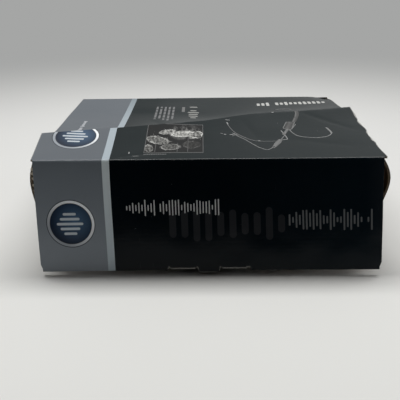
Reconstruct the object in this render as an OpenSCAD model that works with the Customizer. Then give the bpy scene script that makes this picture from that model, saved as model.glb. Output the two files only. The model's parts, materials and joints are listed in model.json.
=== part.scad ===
// Boxed headset microphone. A retail carton with a buckled lid holds a foam
// insert, a behind-the-head headset microphone, its cable, connector, clip
// and a folded leaflet. Millimetres. X right, Y to the back, Z up.
// Origin: centre of the carton's footprint, on the surface it stands on.

/* [Carton] */
// Width of the carton between its end walls
carton_w = 250; // [246:1:254]
// Depth of the carton from front crease to back hinge
carton_d = 195; // [193:1:199]
// Height of the lid's flat top surface
lid_z = 84.5; // [84:0.5:90]
// Thickness of the corrugated board
board_t = 1.5; // [1.2:0.1:1.6]
// Height of the ridge that the buckled lid makes
ridge_h = 10; // [2:0.5:12]
// Lean of the front flap, away from upright
flap_lean = 9.5; // [8.5:0.5:11]
// Length of the front flap from crease to bottom edge
flap_len = 82; // [80:0.5:82]
// Height of the tray's low front wall
front_wall_h = 34; // [30:1:40]
// Bulge of the left end wall
bulge_left = 3.3; // [0:0.1:4]
// Bulge of the right end wall
bulge_right = 4.8; // [0:0.1:5]

/* [Insert] */
// Height of the foam's top face above the table
foam_top = 22; // [21:0.5:23]
// Height of the floor of the headset's channel
channel_z = 12; // [11:0.5:12]

/* [Headset] */
// Half the distance between the two ends of the neckband
band_half_w = 75; // [72:1:78]
// How far back the neckband reaches
band_back_y = 80; // [78:1:81]
// Corner radius of the neckband wire
band_corner_r = 42; // [36:1:46]
// Wire radius of the neckband
band_r = 1.0; // [0.8:0.1:1.2]
// Height of the neckband wire
band_z = 18; // [17.5:0.5:18.5]
// Radius of the arch of the ear hooks
hook_r = 21; // [18:1:22]
// Height of the centre of the ear hook's arch
hook_z = 44; // [40:1:46]
// Wire radius of the ear hooks
hook_wire_r = 0.9; // [0.7:0.1:1]
// Radius of the arc in the gooseneck
goose_r = 28; // [27:0.5:29]
// Angle that the gooseneck's arc turns through
goose_arc = 75; // [70:1:80]
// Radius of the gooseneck's round section
goose_wire_r = 1.2; // [1:0.1:1.3]
// Running clearance, radial
clearance = 0.05; // [0.03:0.01:0.08]

/* [Hidden] */
$fn = 48;

// colours shared by several pieces
kraft = [0.62, 0.48, 0.33];
end_kraft = [0.64, 0.5, 0.35];
flap_black = [0.07, 0.07, 0.08];
cable_black = [0.07, 0.07, 0.07];
satin_black = [0.09, 0.09, 0.1];
lid_black = [0.1, 0.1, 0.11];
dark_grey = [0.12, 0.12, 0.13];
soft_grey = [0.16, 0.16, 0.17];
pin_steel = [0.7, 0.71, 0.73];
hook_steel = [0.72, 0.73, 0.75];
bright_steel = [0.75, 0.76, 0.78];

// ---------- helpers ----------
module along_y(length, r) { rotate([-90, 0, 0]) cylinder(h = length, r = r); }
module along_x(length, r) { rotate([0, 90, 0]) cylinder(h = length, r = r); }
// mirrors a right-hand part for the left side
module side(left) { if (left) mirror([1, 0, 0]) children(); else children(); }
module rounded_rect(x0, y0, x1, y1, r) {
  translate([x0 + r, y0]) square([x1 - x0 - 2 * r, y1 - y0]);
  translate([x0, y0 + r]) square([x1 - x0, y1 - y0 - 2 * r]);
  for (x = [x0 + r, x1 - r]) for (y = [y0 + r, y1 - r])
    translate([x, y]) circle(r = r, $fn = 32);
}
// two triangles that fill a four-cornered face
function quad(a, b, c, d) = [[a, b, c], [a, c, d]];
function unit(v) = v / max(1e-9, norm(v));
function tangent(path, i) = unit(path[min(i + 1, len(path) - 1)] - path[max(i - 1, 0)]);
function side_of(t) = unit(cross(t, abs(t[2]) > 0.9 ? [1, 0, 0] : [0, 0, 1]));
// rod of n facets swept along a list of points, closed at both ends
module swept(path, r, n = 8) {
  last = len(path) - 1;
  points = [for (i = [0:last])
    let (t = tangent(path, i), across = side_of(t), up = cross(t, across))
    for (k = [0:n - 1]) path[i] + r * (cos(360 * k / n) * across + sin(360 * k / n) * up)];
  sides = [for (i = [0:last - 1]) for (k = [0:n - 1])
    let (a = i * n + k, b = i * n + (k + 1) % n)
    each quad(b, b + n, a + n, a)];
  start_cap = [for (k = [1:n - 2]) [0, k + 1, k]];
  end_cap = [for (k = [1:n - 2]) [last * n, last * n + k, last * n + k + 1]];
  polyhedron(points = points, faces = concat(sides, start_cap, end_cap), convexity = 6);
}

// ---------- carton: lid ----------
half_w = carton_w / 2;
half_d = carton_d / 2;
// the printed wrap and the tray board leave a hair's gap, so no faces coincide
gap = 0.1;

// The lid has buckled along a diagonal crease. Ahead of the crease the board
// rises from the front edge; behind it the board drops back to its plane.
// Crease stations: [x, y]
crease = [[-126, -61.5], [-60, -46], [0, -32], [25, -19.5], [48, -6.5], [75, 1], [126, 7]];
lid_cols = 22;
near_rows = 7;
far_rows = 10;
lid_rows = near_rows + far_rows;
lid_front_y = -half_d + 0.2;
lid_back_y = half_d - 0.1;
lid_half_w = half_w + 1;
far_spacing = 1.6; // power that crowds the far rows towards the crease

// 0 at the left end of the carton, 1 at the right
function across_lid(x) = (x + half_w) / (2 * half_w);
// share of the near rise that comes steeply, close to the crease
function steep_share(x) = 0.45 * across_lid(x);
// s: 0 at the front edge, 1 at the crease
function near_rise(x, s) = ridge_h * ((1 - steep_share(x)) * s + steep_share(x) * pow(s, 10));
// behind: distance behind the crease; t: 0 at the crease, 1 at the back edge
function far_rise(x, behind, t) = ridge_h * exp(-behind / (15 + 13 * across_lid(x))) * (1 - t);
function lid_point(i, j, drop) = let (
    x = -lid_half_w + 2 * lid_half_w * i / lid_cols,
    crease_y = lookup(x, crease),
    s = min(1, j / near_rows),
    t = pow(max(0, (j - near_rows) / far_rows), far_spacing),
    behind = (lid_back_y - crease_y) * t,
    near = j <= near_rows,
    y = near ? lid_front_y + (crease_y - lid_front_y) * s : crease_y + behind,
    rise = near ? near_rise(x, s) : far_rise(x, behind, t))
  [x, y, lid_z - drop + rise];
function lid_grid(drop) =
  [for (i = [0:lid_cols]) for (j = [0:lid_rows]) lid_point(i, j, drop)];
module lid_panel() {
  top = lid_grid(0);
  under = len(top); // index step from a top point to the one below it
  row = lid_rows + 1; // index step from one column to the next
  faces = [
    for (i = [0:lid_cols - 1]) for (j = [0:lid_rows - 1])
      let (a = i * row + j, b = a + 1, c = a + row, d = c + 1)
      each concat(quad(a, b, d, c), quad(under + a, under + c, under + d, under + b)),
    for (i = [0:lid_cols - 1])
      let (a = i * row, b = a + row, c = a + lid_rows, d = c + row)
      each concat(quad(a, b, under + b, under + a), quad(c, under + c, under + d, d)),
    for (j = [0:lid_rows - 1])
      let (a = j, b = j + 1, c = lid_cols * row + j, d = c + 1)
      each concat(quad(a, under + a, under + b, b), quad(c, d, under + d, under + c))
  ];
  color(lid_black)
    polyhedron(points = concat(top, lid_grid(board_t)), faces = faces, convexity = 8);
}

// ---------- carton: front flap ----------
// Flap drawing: x across, y down from the crease; the tongue hangs below the edge
tongue_top = 17;
tongue_bottom = 14.6;
tab_w = 56;
tab_len = 13;
module flap_outline() {
  difference() {
    translate([-half_w + 0.5, 1.8]) square([carton_w - 1, flap_len - 1.8]);
    // the tab's cut-out: its two legs fold here, either side of the tongue
    polygon([
      [-tab_w / 2 - 1, flap_len - 2.2], [-tab_w / 2 - 3, flap_len + 1],
      [tab_w / 2 + 3, flap_len + 1], [tab_w / 2 + 1, flap_len - 2.2]
    ]);
  }
  polygon([
    [-tongue_top / 2, flap_len - 3], [tongue_top / 2, flap_len - 3],
    [tongue_bottom / 2, flap_len + 1.6], [-tongue_bottom / 2, flap_len + 1.6]
  ]);
}
// stands a flap drawing in place; its thickness runs inwards
module on_flap() {
  translate([0, -half_d, lid_z]) rotate([-flap_lean, 0, 0]) rotate([-90, 0, 0]) children();
}
module front_flap() {
  color(flap_black) on_flap() linear_extrude(height = board_t) flap_outline();
}
module tuck_tab() {
  // folded square to the flap, with a notch that clears the tongue
  tab_reach = tab_len - 1.7;
  notch_side = 0.6;
  color(flap_black) on_flap() translate([0, flap_len - 2, board_t + 0.2])
    rotate([90, 0, 0]) translate([0, 0, -board_t]) linear_extrude(height = board_t)
      difference() {
        polygon([
          [-tab_w / 2, 0], [tab_w / 2, 0],
          [tab_w / 2 - 4, tab_reach], [-tab_w / 2 + 4, tab_reach]
        ]);
        translate([-tongue_top / 2 - notch_side, -1]) square([tongue_top + 2 * notch_side, 5]);
      }
}

// ---------- carton: wrap and tray ----------
slot_w = 68; // slot that the tuck tab enters
tray_inset = 2;
tray_w = carton_w - 2 * tray_inset;
tray_front_y = -half_d + 2.2;
tray_back_y = half_d - board_t - gap;
tray_z = board_t + gap;
floor_top = 2 * board_t + 2 * gap;
back_wall_h = 76;
thumb_notch_r = 16;

module wrap_bottom_panel() {
  color(satin_black) translate([-half_w, -half_d + 1.6, 0])
    cube([carton_w, carton_d - 1.6 - gap, board_t]);
}
module wrap_back_panel() {
  color(satin_black) translate([-half_w, half_d - board_t, tray_z])
    cube([carton_w, board_t, lid_z - 2 * board_t - 2 * gap - 0.3]);
}
module tray_floor() {
  color(kraft) difference() {
    translate([-half_w + tray_inset, tray_front_y, tray_z])
      cube([tray_w, tray_back_y - tray_front_y, board_t]);
    translate([-slot_w / 2, tray_front_y - 1, 0]) cube([slot_w, 13, 9]);
  }
}
module tray_back_wall() {
  color(kraft) translate([-half_w + tray_inset, tray_back_y - board_t, floor_top])
    cube([tray_w, board_t, back_wall_h]);
}
module tray_front_wall() {
  color(kraft) difference() {
    translate([-half_w + tray_inset, tray_front_y, floor_top])
      cube([tray_w, board_t, front_wall_h - 2 * board_t]);
    // slot for the tuck tab, and a thumb notch in the top edge
    translate([-slot_w / 2, tray_front_y - 1, 0]) cube([slot_w, 4, 8]);
    translate([0, tray_front_y - 1, front_wall_h + 6]) along_y(4, thumb_notch_r);
  }
}
// an end wall bows outwards over its upper half
bow_z = 42;
bow_h = 41;
function bow(z, bulge) =
  z < bow_z ? 0 : bulge * sin(180 * pow(min(1, (z - bow_z) / bow_h), 1.5));
module end_wall(bulge) {
  steps = 16;
  z_low = tray_z;
  z_high = lid_z - board_t - 0.4;
  rise = (z_high - z_low) / steps;
  outer = [for (k = [0:steps]) let (z = z_low + rise * k) [half_w + bow(z, bulge), z]];
  inner = [for (k = [0:steps]) let (z = z_high - rise * k)
    [half_w - board_t + bow(z, bulge), z]];
  translate([0, tray_back_y, 0]) rotate([90, 0, 0])
    linear_extrude(height = tray_back_y - tray_front_y) polygon(concat(outer, inner));
}
module tray_end_wall_left() { color(end_kraft) mirror([1, 0, 0]) end_wall(bulge_left); }
module tray_end_wall_right() { color(end_kraft) end_wall(bulge_right); }

// ---------- the insert ----------
foam_half_d = 91;
coil_r = 31;
coil_x = 0;
coil_y = 18;
// front end of the connector, on its axis
con_x = -9;
con_y = -72;
con_z = 17.2;
leaf_x = 16;
leaf_y = -89;
leaf_w = 98;
leaf_d = 58;
cut_h = 20; // tall enough for a pocket to break through the top face

module foam_insert() {
  foam_half_w = half_w - 4;
  color(dark_grey) difference() {
    translate([0, 0, floor_top]) linear_extrude(height = foam_top - floor_top)
      rounded_rect(-foam_half_w, -foam_half_d, foam_half_w, foam_half_d, 2);
    // U-shaped channel for the neckband, with room to widen it
    translate([0, 0, channel_z]) linear_extrude(height = cut_h) difference() {
      rounded_rect(-101, -25, 101, 89, 6);
      rounded_rect(-62, -26, 62, 66, 6);
      translate([-15, 74]) square([30, 12]);
    }
    // the saddle under the rear sleeve stays, cut lower than the top face
    translate([-16, 73, band_z - 2.9]) cube([32, 14, cut_h]);
    // boom groove and windscreen pocket
    translate([0, 0, 9.4]) linear_extrude(height = cut_h) {
      rounded_rect(-100, -70, -66, -6, 5);
      rounded_rect(-100, -90.4, -22, -56, 8);
    }
    // round pocket for the coiled cable, with a post in its middle
    translate([0, 0, 9.5]) linear_extrude(height = cut_h) difference() {
      translate([coil_x, coil_y]) circle(r = coil_r + 7, $fn = 72);
      translate([coil_x, coil_y]) circle(r = coil_r - 8, $fn = 72);
    }
    // pocket for the clip, on the post
    translate([coil_x - 13, coil_y - 9, 15]) cube([26, 18, cut_h]);
    // connector pocket and cable slots
    translate([0, 0, 10]) linear_extrude(height = cut_h)
      rounded_rect(con_x - 9, con_y - 8, con_x + 9, con_y + 48, 4);
    translate([con_x - 3, con_y + 46, 13]) cube([6, 16, cut_h]);
    translate([-66, 40, 12.5]) cube([45, 6, cut_h]);
    // leaflet recess and its thumb notch
    translate([leaf_x - 1, leaf_y - 1, foam_top - 3]) cube([leaf_w + 2, leaf_d + 2, cut_h]);
    translate([leaf_x + leaf_w / 2, leaf_y + leaf_d + 1, foam_top - 7])
      cylinder(h = cut_h, r = 9);
    // clearance for the tuck tab
    translate([-slot_w / 2, -95, -1]) cube([slot_w, 12.5, 9]);
  }
}
module instruction_leaflet() {
  // three leaves, spaced a little apart, joined by a spine along the front edge
  leaf_t = 0.5;
  leaf_pitch = 0.75;
  color([0.9, 0.9, 0.88]) translate([leaf_x, leaf_y, foam_top - 2.9]) union() {
    cube([leaf_w, 2.2, 2 * leaf_pitch + leaf_t]);
    for (k = [0:2]) translate([0, 0, k * leaf_pitch]) cube([leaf_w, leaf_d, leaf_t]);
  }
}

// ---------- the neckband ----------
block_y = -11; // centre of the temple blocks
sleeve_half = 20;
collar_w = 3;

// one half of the neckband wire: straight in the sleeve, a corner, then forwards
module band_wire() {
  corner_x = band_half_w - band_corner_r;
  corner_y = band_back_y - band_corner_r;
  wire_end_y = block_y + 7;
  color(bright_steel) union() {
    translate([2, band_back_y, band_z]) along_x(corner_x - 2, band_r);
    translate([corner_x, corner_y, band_z]) rotate_extrude(angle = 90)
      translate([band_corner_r, 0]) circle(r = band_r, $fn = 24);
    translate([band_half_w, wire_end_y, band_z]) along_y(corner_y - wire_end_y, band_r);
  }
}
module band_wire_left() { side(true) band_wire(); }
module band_wire_right() { side(false) band_wire(); }
module band_sleeve() {
  rib_pitch = 2.2;
  color([0.08, 0.08, 0.09]) translate([-sleeve_half, band_back_y, band_z]) difference() {
    union() {
      along_x(2 * sleeve_half, 2.6);
      for (k = [0:6]) translate([sleeve_half - 7.5 + k * rib_pitch, 0, 0]) along_x(1, 2.85);
    }
    translate([-1, 0, 0]) along_x(2 * sleeve_half + 2, band_r + clearance);
  }
}
module sleeve_collars() {
  color([0.2, 0.2, 0.21]) for (s = [-1, 1])
    translate([s * (sleeve_half + 0.1 + (s < 0 ? collar_w : 0)), band_back_y, band_z])
      difference() {
        along_x(collar_w, 2.2);
        translate([-1, 0, 0]) along_x(collar_w + 2, band_r + clearance);
      }
}

// ---------- temple blocks and ear hooks ----------
block_half_w = 3.6;
block_half_d = 6.8;
cheek_t = 4.4;
pin_z = 22; // axis of the ear hook's hinge
pin_r = 1.0;
barrel_w = 4.4;
fork_gap = 4.6;
boom_z = channel_z + 2.9; // axis of the boom's pivot

// origin on the table below a block; +X points outwards
module block_place(left) { side(left) translate([band_half_w, block_y, 0]) children(); }

// moulded block at the front end of the band: a fork along Y for the ear hook
module temple_block(left) {
  cheeks_y = [-block_half_d, block_half_d - cheek_t];
  color(satin_black) block_place(left) difference() {
    union() {
      translate([-block_half_w, -block_half_d, channel_z + 0.1])
        cube([2 * block_half_w, 2 * block_half_d, 5.6]);
      for (y = cheeks_y) translate([0, y, pin_z]) along_y(cheek_t, 3.9);
      for (y = cheeks_y) translate([-block_half_w, y, channel_z + 4])
        cube([2 * block_half_w, cheek_t, pin_z - channel_z - 4]);
      // socket that holds the band wire
      translate([0, 6.7, band_z]) along_y(5, 2.3);
      // boss for the boom's pivot on the outer side
      if (left) translate([3, 0, boom_z]) along_x(1.6, 2.7);
    }
    // bore for the hinge pin, room for the hook's barrel, bore for the wire
    translate([0, -10, pin_z]) along_y(20, pin_r);
    translate([-6, -fork_gap / 2, channel_z + 5.7]) cube([12, fork_gap, 20]);
    translate([0, 6.9, band_z]) along_y(6, band_r);
    if (left) translate([-4, 0, boom_z]) along_x(12, 1.2);
  }
}
module temple_block_left() { temple_block(true); }
module temple_block_right() { temple_block(false); }
module ear_hinge_pin(left) {
  pin_half = block_half_d + 0.1;
  color(pin_steel) block_place(left) translate([0, -pin_half, pin_z])
    along_y(2 * pin_half, pin_r - 0.02);
}
module ear_hinge_pin_left() { ear_hinge_pin(true); }
module ear_hinge_pin_right() { ear_hinge_pin(false); }
// sweeps a section over the ear, from the leg back to the tail
module hook_arch() {
  translate([0, hook_r, hook_z]) rotate([0, -90, 0]) rotate([0, 0, -90])
    rotate_extrude(angle = 180) translate([hook_r, 0]) children();
}
// ear hook: barrel on the pin, a leg, an arch over the ear and a short tail
module ear_hook(left) {
  tail_len = 12;
  color(hook_steel) block_place(left) difference() {
    union() {
      translate([0, -barrel_w / 2, pin_z]) along_y(barrel_w, 3.0);
      translate([0, 0, pin_z + 1]) cylinder(h = hook_z - pin_z - 1, r = hook_wire_r);
      hook_arch() circle(r = hook_wire_r, $fn = 24);
      translate([0, 2 * hook_r, hook_z - tail_len]) cylinder(h = tail_len, r = hook_wire_r);
    }
    translate([0, -5, pin_z]) along_y(10, pin_r + clearance);
  }
}
module ear_hook_left() { ear_hook(true); }
module ear_hook_right() { ear_hook(false); }
// soft tubing drawn over the arch and tail of the hook, closed at its tip
module ear_tubing(left) {
  bore_r = hook_wire_r + 0.03;
  outer_r = 1.9;
  leg_len = 8;
  tail_len = 15;
  color(soft_grey) block_place(left) {
    hook_arch() difference() {
      circle(r = outer_r, $fn = 24);
      circle(r = bore_r, $fn = 24);
    }
    translate([0, 0, hook_z - leg_len]) difference() {
      cylinder(h = leg_len, r = outer_r);
      translate([0, 0, -1]) cylinder(h = leg_len + 2, r = bore_r);
    }
    translate([0, 2 * hook_r, hook_z - tail_len]) difference() {
      union() {
        cylinder(h = tail_len, r = outer_r);
        sphere(r = outer_r);
      }
      translate([0, 0, 2.9]) cylinder(h = 14, r = bore_r);
    }
  }
}
module ear_tubing_left() { ear_tubing(true); }
module ear_tubing_right() { ear_tubing(false); }

// ---------- the boom, on the left temple block ----------
boom_x = -band_half_w - 7.6;
tube_rise = 1.2; // boom tube's axis above the pivot
tube_z = boom_z + tube_rise;
tube_r = 1.5;
journal_r = 1.5;
knuckle_w = 5.2;
knuckle_len = 14;
screw_y = -10.4; // clamp screw, from the pivot
screw_z = 3.4;
goose_y = -40; // where the front of the gooseneck starts

module boom_pivot_pin() {
  // shouldered pin: shank in the block, journal in the knuckle, head outside
  color(pin_steel) translate([0, block_y, boom_z]) union() {
    translate([-band_half_w - 4.7, 0, 0]) along_x(8, 1.18);
    translate([-band_half_w - 10.3, 0, 0]) along_x(5.7, journal_r);
    translate([-band_half_w - 11.5, 0, 0]) along_x(1.25, 2.6);
  }
}
module boom_knuckle() {
  color(satin_black) translate([boom_x, block_y, boom_z]) difference() {
    union() {
      translate([-knuckle_w / 2, 0, 0]) along_x(knuckle_w, 4.2);
      translate([-knuckle_w / 2, -knuckle_len, -2.4]) cube([knuckle_w, knuckle_len, 6.4]);
    }
    translate([-4, 0, 0]) along_x(8, journal_r + clearance);
    // bore that holds the boom tube, and a slit and a hole for the clamp screw
    translate([0, -15, tube_rise]) along_y(9, tube_r + 0.05);
    translate([-0.3, -14.5, tube_rise]) cube([0.6, 7, 4]);
    translate([-3, screw_y, screw_z]) along_x(6, 0.42);
  }
}
module clamp_screw() {
  color(hook_steel) translate([boom_x, block_y + screw_y, boom_z + screw_z]) difference() {
    union() {
      translate([-2.5, 0, 0]) along_x(4.9, 0.4);
      translate([-3.5, 0, 0]) along_x(0.85, 1.1);
    }
    translate([-4, -0.15, -2]) cube([0.7, 0.3, 4]);
  }
}
module boom_tube() {
  front_y = goose_y + 6;
  back_y = block_y - 6.1;
  color(satin_black) translate([boom_x, front_y, tube_z]) difference() {
    union() {
      along_y(back_y - front_y, tube_r);
      along_y(3, 1.9);
    }
    translate([0, -1, 0]) along_y(7, goose_wire_r + 0.02);
  }
}
module gooseneck_rear() {
  color(lid_black) translate([boom_x, goose_y + 1.35, tube_z]) along_y(10, goose_wire_r);
}
// straight lengths before and after the gooseneck's arc
goose_lead = 6;
goose_tail = 3.6;
module goose_place() { translate([boom_x, goose_y, tube_z]) children(); }
// the end of the gooseneck's arc, with +Z along the boom's heading there
module goose_end() {
  translate([goose_r - goose_r * cos(goose_arc), -goose_lead - goose_r * sin(goose_arc), 0])
    rotate([0, 0, goose_arc - 90]) rotate([0, 90, 0]) children();
}
module gooseneck_front() {
  color(lid_black) goose_place() {
    sphere(r = goose_wire_r);
    translate([0, -goose_lead, 0]) along_y(goose_lead, goose_wire_r);
    translate([goose_r, -goose_lead, 0]) rotate([0, 0, 180]) rotate_extrude(angle = goose_arc)
      translate([goose_r, 0]) circle(r = goose_wire_r, $fn = 24);
    goose_end() cylinder(h = goose_tail, r = goose_wire_r);
  }
}

// ---------- microphone capsule ----------
capsule_r = 2.8;
capsule_len = 13;
windscreen_r = 6.2;
windscreen_half = 9.5;
// +Z of this frame points out of the capsule's mouth
module capsule_place() {
  goose_place() goose_end() translate([0, 0, goose_tail]) children();
}
module capsule_housing() {
  color(dark_grey) capsule_place() difference() {
    union() {
      translate([0, 0, 1]) cylinder(h = capsule_len, r = capsule_r);
      translate([0, 0, -3.5]) cylinder(h = 4.6, r1 = 1.75, r2 = capsule_r);
    }
    translate([0, 0, -4]) cylinder(h = 4.2, r = goose_wire_r + 0.02);
    translate([0, 0, 2]) cylinder(h = capsule_len, r = capsule_r - 0.4);
  }
}
module capsule_element() {
  color([0.78, 0.7, 0.45]) capsule_place() translate([0, 0, 6])
    cylinder(h = 6, r = capsule_r - 0.45);
}
module capsule_grille() {
  hole_r = 0.3;
  color([0.55, 0.56, 0.58]) capsule_place() translate([0, 0, 12.6]) difference() {
    cylinder(h = 1, r = capsule_r - 0.42);
    translate([0, 0, -1]) cylinder(h = 3, r = hole_r);
    for (a = [0:60:300]) rotate([0, 0, a]) translate([1.3, 0, -1]) cylinder(h = 3, r = hole_r);
  }
}
module windscreen() {
  axis_r = 0.01; // keeps the profile just off the axis
  color([0.1, 0.1, 0.1]) capsule_place() translate([0, 0, 1.2]) rotate_extrude() difference() {
    polygon([for (a = [-90:10:90])
      [axis_r + (windscreen_r - axis_r) * cos(a), windscreen_half * (1 + sin(a))]]);
    translate([-1, -1]) square([1 + capsule_r + clearance, 14.8]);
  }
}

// ---------- cable ----------
cable_r = 0.95;
lead_x = -band_half_w + 4.6;
lead_z = boom_z + 0.4;
lead_len = 40;
// the lead drifts outwards and up as it runs back
function lead_point(y) = let (s = sin(90 * y / lead_len)) [lead_x - 0.9 * s, y, lead_z + 1.4 * s];
module cable_lead() {
  path = [[lead_x, block_y + 7.4, lead_z], for (y = [0:8:lead_len]) lead_point(y)];
  color(cable_black) swept(path, cable_r);
}
module cable_keepers() {
  // two small clips hold the lead beside the band wire
  color(soft_grey) for (y = [8, 30]) let (lead = lead_point(y)) translate([0, y, 0]) difference() {
    translate([lead[0] - 1.6, 0, boom_z - 1.3]) cube([7, 3.2, 7]);
    translate([-band_half_w, -1, band_z]) along_y(6, band_r + 0.02);
    translate([lead[0], -1, lead[2]]) along_y(6, cable_r + 0.22);
    translate([-band_half_w - 3.9, -1, boom_z - 3]) cube([2, 6, 12]);
  }
}
turns = 3;
turn_steps = 22;
coil_pitch = 2.3;
coil_start = 140; // angle where the coil begins
function coil_point(a, r, z) = [coil_x + r * cos(a), coil_y + r * sin(a), z];
// an end that meets the lead, three turns, and an end that leads to the connector
function coil_path() = concat(
  [[lead_x + 1.2, 43, boom_z + 2.0], [-60, 43, 16.8], [-46, 43, 16.6], [-34, 42, 16.8]],
  [for (k = [0:turns * turn_steps]) let (a = coil_start + 360 * k / turn_steps)
    coil_point(a, coil_r + 2.4 * sin(2 * a) * (k % turn_steps) / turn_steps,
      17.6 - coil_pitch * k / turn_steps)],
  [for (a = [150:15:240]) let (past = a - coil_start)
    coil_point(a, coil_r - 2.6 * sin(180 * past / 130), 10.7 + past * 0.012)],
  [[con_x - 2, -16, 13.4], [con_x, con_y + 49, 15.6], [con_x, con_y + 44.5, con_z]]
);
module cable_coil() { color(cable_black) swept(coil_path(), cable_r, 7); }

// ---------- connector ----------
shell_len = 18;
shell_bore_r = 4.4;
contact_ring_r = 2.1;
// +Z of this frame points back along the connector, -Y points up
module con_place() { translate([con_x, con_y, con_z]) rotate([-90, 0, 0]) children(); }
module at_contacts() {
  for (a = [30, 150, 270]) rotate([0, 0, a]) translate([contact_ring_r, 0, 0]) children();
}
module connector_shell() {
  color([0.68, 0.69, 0.71]) con_place() difference() {
    union() {
      cylinder(h = shell_len, r = 5.0);
      translate([0, 0, shell_len]) cylinder(h = 12, r = 5.4);
      translate([0, 0, 2]) cylinder(h = 1.2, r = 5.2);
    }
    translate([0, 0, -1]) cylinder(h = 14, r = shell_bore_r);
    translate([0, 0, 14]) cylinder(h = 20, r = shell_bore_r);
    translate([0, 0, 11]) cylinder(h = 6, r = 3.9);
    // opening for the lock button, on top
    translate([-1.6, -6, 20]) cube([3.2, 3, 6]);
  }
}
module connector_insert() {
  color([0.14, 0.14, 0.15]) con_place() difference() {
    union() {
      translate([0, 0, 2.2]) cylinder(h = 8.6, r = shell_bore_r - 0.05);
      translate([0, 0, 10.7]) cylinder(h = 5, r = 3.8);
      // shelf under the button's spring
      translate([-2, 1.25, 15.5]) cube([4, 1, 9.8]);
    }
    at_contacts() cylinder(h = 20, r = 0.72);
  }
}
module connector_contacts() {
  color([0.83, 0.68, 0.3]) con_place() at_contacts() translate([0, 0, 3]) difference() {
    cylinder(h = 12.4, r = 0.7);
    translate([0, 0, -1]) cylinder(h = 8, r = 0.42);
  }
}
module connector_boot() {
  color([0.1, 0.1, 0.1]) con_place() translate([0, 0, 26.5]) difference() {
    union() {
      cylinder(h = 5, r = shell_bore_r - 0.05);
      translate([0, 0, 4.9]) cylinder(h = 10.4, r1 = 3.6, r2 = 1.9);
      for (k = [0:3]) translate([0, 0, 6.2 + k * 2.2]) cylinder(h = 1.2, r = 3.5 - k * 0.4);
    }
    translate([0, 0, -1]) cylinder(h = 20, r = cable_r + 0.25);
  }
}
module connector_button() {
  color(bright_steel) con_place() union() {
    translate([-1.5, -6.4, 20.1]) cube([3, 3.2, 5.8]);
    translate([-2.3, -3.6, 18.6]) cube([4.6, 0.7, 7.2]);
  }
}
// small coil spring that lifts the button: three turns
module button_spring() {
  wire_r = 0.15;
  ring_r = 1.1;
  steps = 32;
  z_low = con_z - 1.2 + wire_r;
  z_high = con_z + 2.85 - wire_r;
  path = [for (k = [0:steps]) let (a = 3 * 360 * k / steps)
    [con_x + ring_r * cos(a), con_y + 22.6 + ring_r * sin(a),
      z_low + (z_high - z_low) * k / steps]];
  color(pin_steel) swept(path, wire_r, 5);
}

// ---------- collar clip ----------
clip_z = 15.1;
clip_half_len = 11;
clip_lip = 1.2;
base_w = 7.2;
jaw_w = 6.8;
lever_w = 4;
// hinge axis
hinge_x = 6;
hinge_z = 3.4;
hinge_r = 0.8;
module clip_place() { translate([coil_x, coil_y, clip_z]) children(); }
// a cylinder on the hinge axis that starts at y
module on_hinge(y, length, r) { translate([hinge_x, y, hinge_z]) along_y(length, r); }
module clip_base() {
  lug_t = 1.4;
  color(satin_black) clip_place() difference() {
    union() {
      translate([-clip_half_len, -base_w / 2, 0]) cube([2 * clip_half_len, base_w, 1.4]);
      for (s = [-1, 1]) translate([4, s * 2.9 - lug_t / 2, 0]) cube([4, lug_t, hinge_z]);
      for (s = [-1, 1]) on_hinge(s * 2.9 - lug_t / 2, lug_t, 2);
      translate([-clip_half_len, -base_w / 2, 1.3]) cube([clip_lip, base_w, 0.7]);
    }
    on_hinge(-5, 10, hinge_r);
  }
}
module clip_jaw() {
  color(dark_grey) clip_place() difference() {
    union() {
      translate([-clip_half_len, -jaw_w / 2, 4.2]) cube([12, jaw_w, 1.3]);
      translate([0.9, -lever_w / 2, 3.6]) cube([10.6, lever_w, 1.9]);
      on_hinge(-lever_w / 2, lever_w, 1.9);
      for (k = [0:3]) translate([8.4 + k * 0.8, -lever_w / 2, 5.4]) cube([0.4, lever_w, 0.4]);
      translate([-clip_half_len, -jaw_w / 2, 2.3]) cube([clip_lip, jaw_w, 2.2]);
      // small ring that holds the cable
      translate([-5, 0, 5.3]) difference() {
        translate([-1.6, -2.2, 0]) cube([3.2, 4.4, 3.4]);
        translate([-3, 0, 1.6]) along_x(6, cable_r + 0.2);
      }
    }
    // bore for the pin, and room for the spring
    on_hinge(-5, 10, hinge_r + clearance);
    on_hinge(-0.75, 1.5, 2.6);
  }
}
module clip_pin() { color(pin_steel) clip_place() on_hinge(-3.7, 7.4, hinge_r - 0.02); }
module clip_spring() {
  // two rings side by side round the pin
  color(pin_steel) clip_place() translate([hinge_x, 0, hinge_z]) rotate([90, 0, 0])
    for (k = [-1, 1]) translate([0, 0, k * 0.3])
      rotate_extrude() translate([1.15, 0]) circle(r = 0.2, $fn = 16);
}

wrap_bottom_panel();
wrap_back_panel();
lid_panel();
front_flap();
tuck_tab();
tray_floor();
tray_back_wall();
tray_front_wall();
tray_end_wall_left();
tray_end_wall_right();
foam_insert();
instruction_leaflet();
band_wire_left();
band_wire_right();
band_sleeve();
sleeve_collars();
temple_block_left();
temple_block_right();
ear_hinge_pin_left();
ear_hinge_pin_right();
ear_hook_left();
ear_hook_right();
ear_tubing_left();
ear_tubing_right();
boom_pivot_pin();
boom_knuckle();
clamp_screw();
boom_tube();
gooseneck_rear();
gooseneck_front();
capsule_housing();
capsule_element();
capsule_grille();
windscreen();
cable_lead();
cable_keepers();
cable_coil();
connector_shell();
connector_insert();
connector_contacts();
connector_boot();
connector_button();
button_spring();
clip_base();
clip_jaw();
clip_pin();
clip_spring();
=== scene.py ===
import json
from collections import Counter
from math import copysign, cos, exp, hypot, pi, radians, sin

import bmesh
import bpy
import numpy as np
from mathutils import Matrix, Vector, noise


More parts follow.
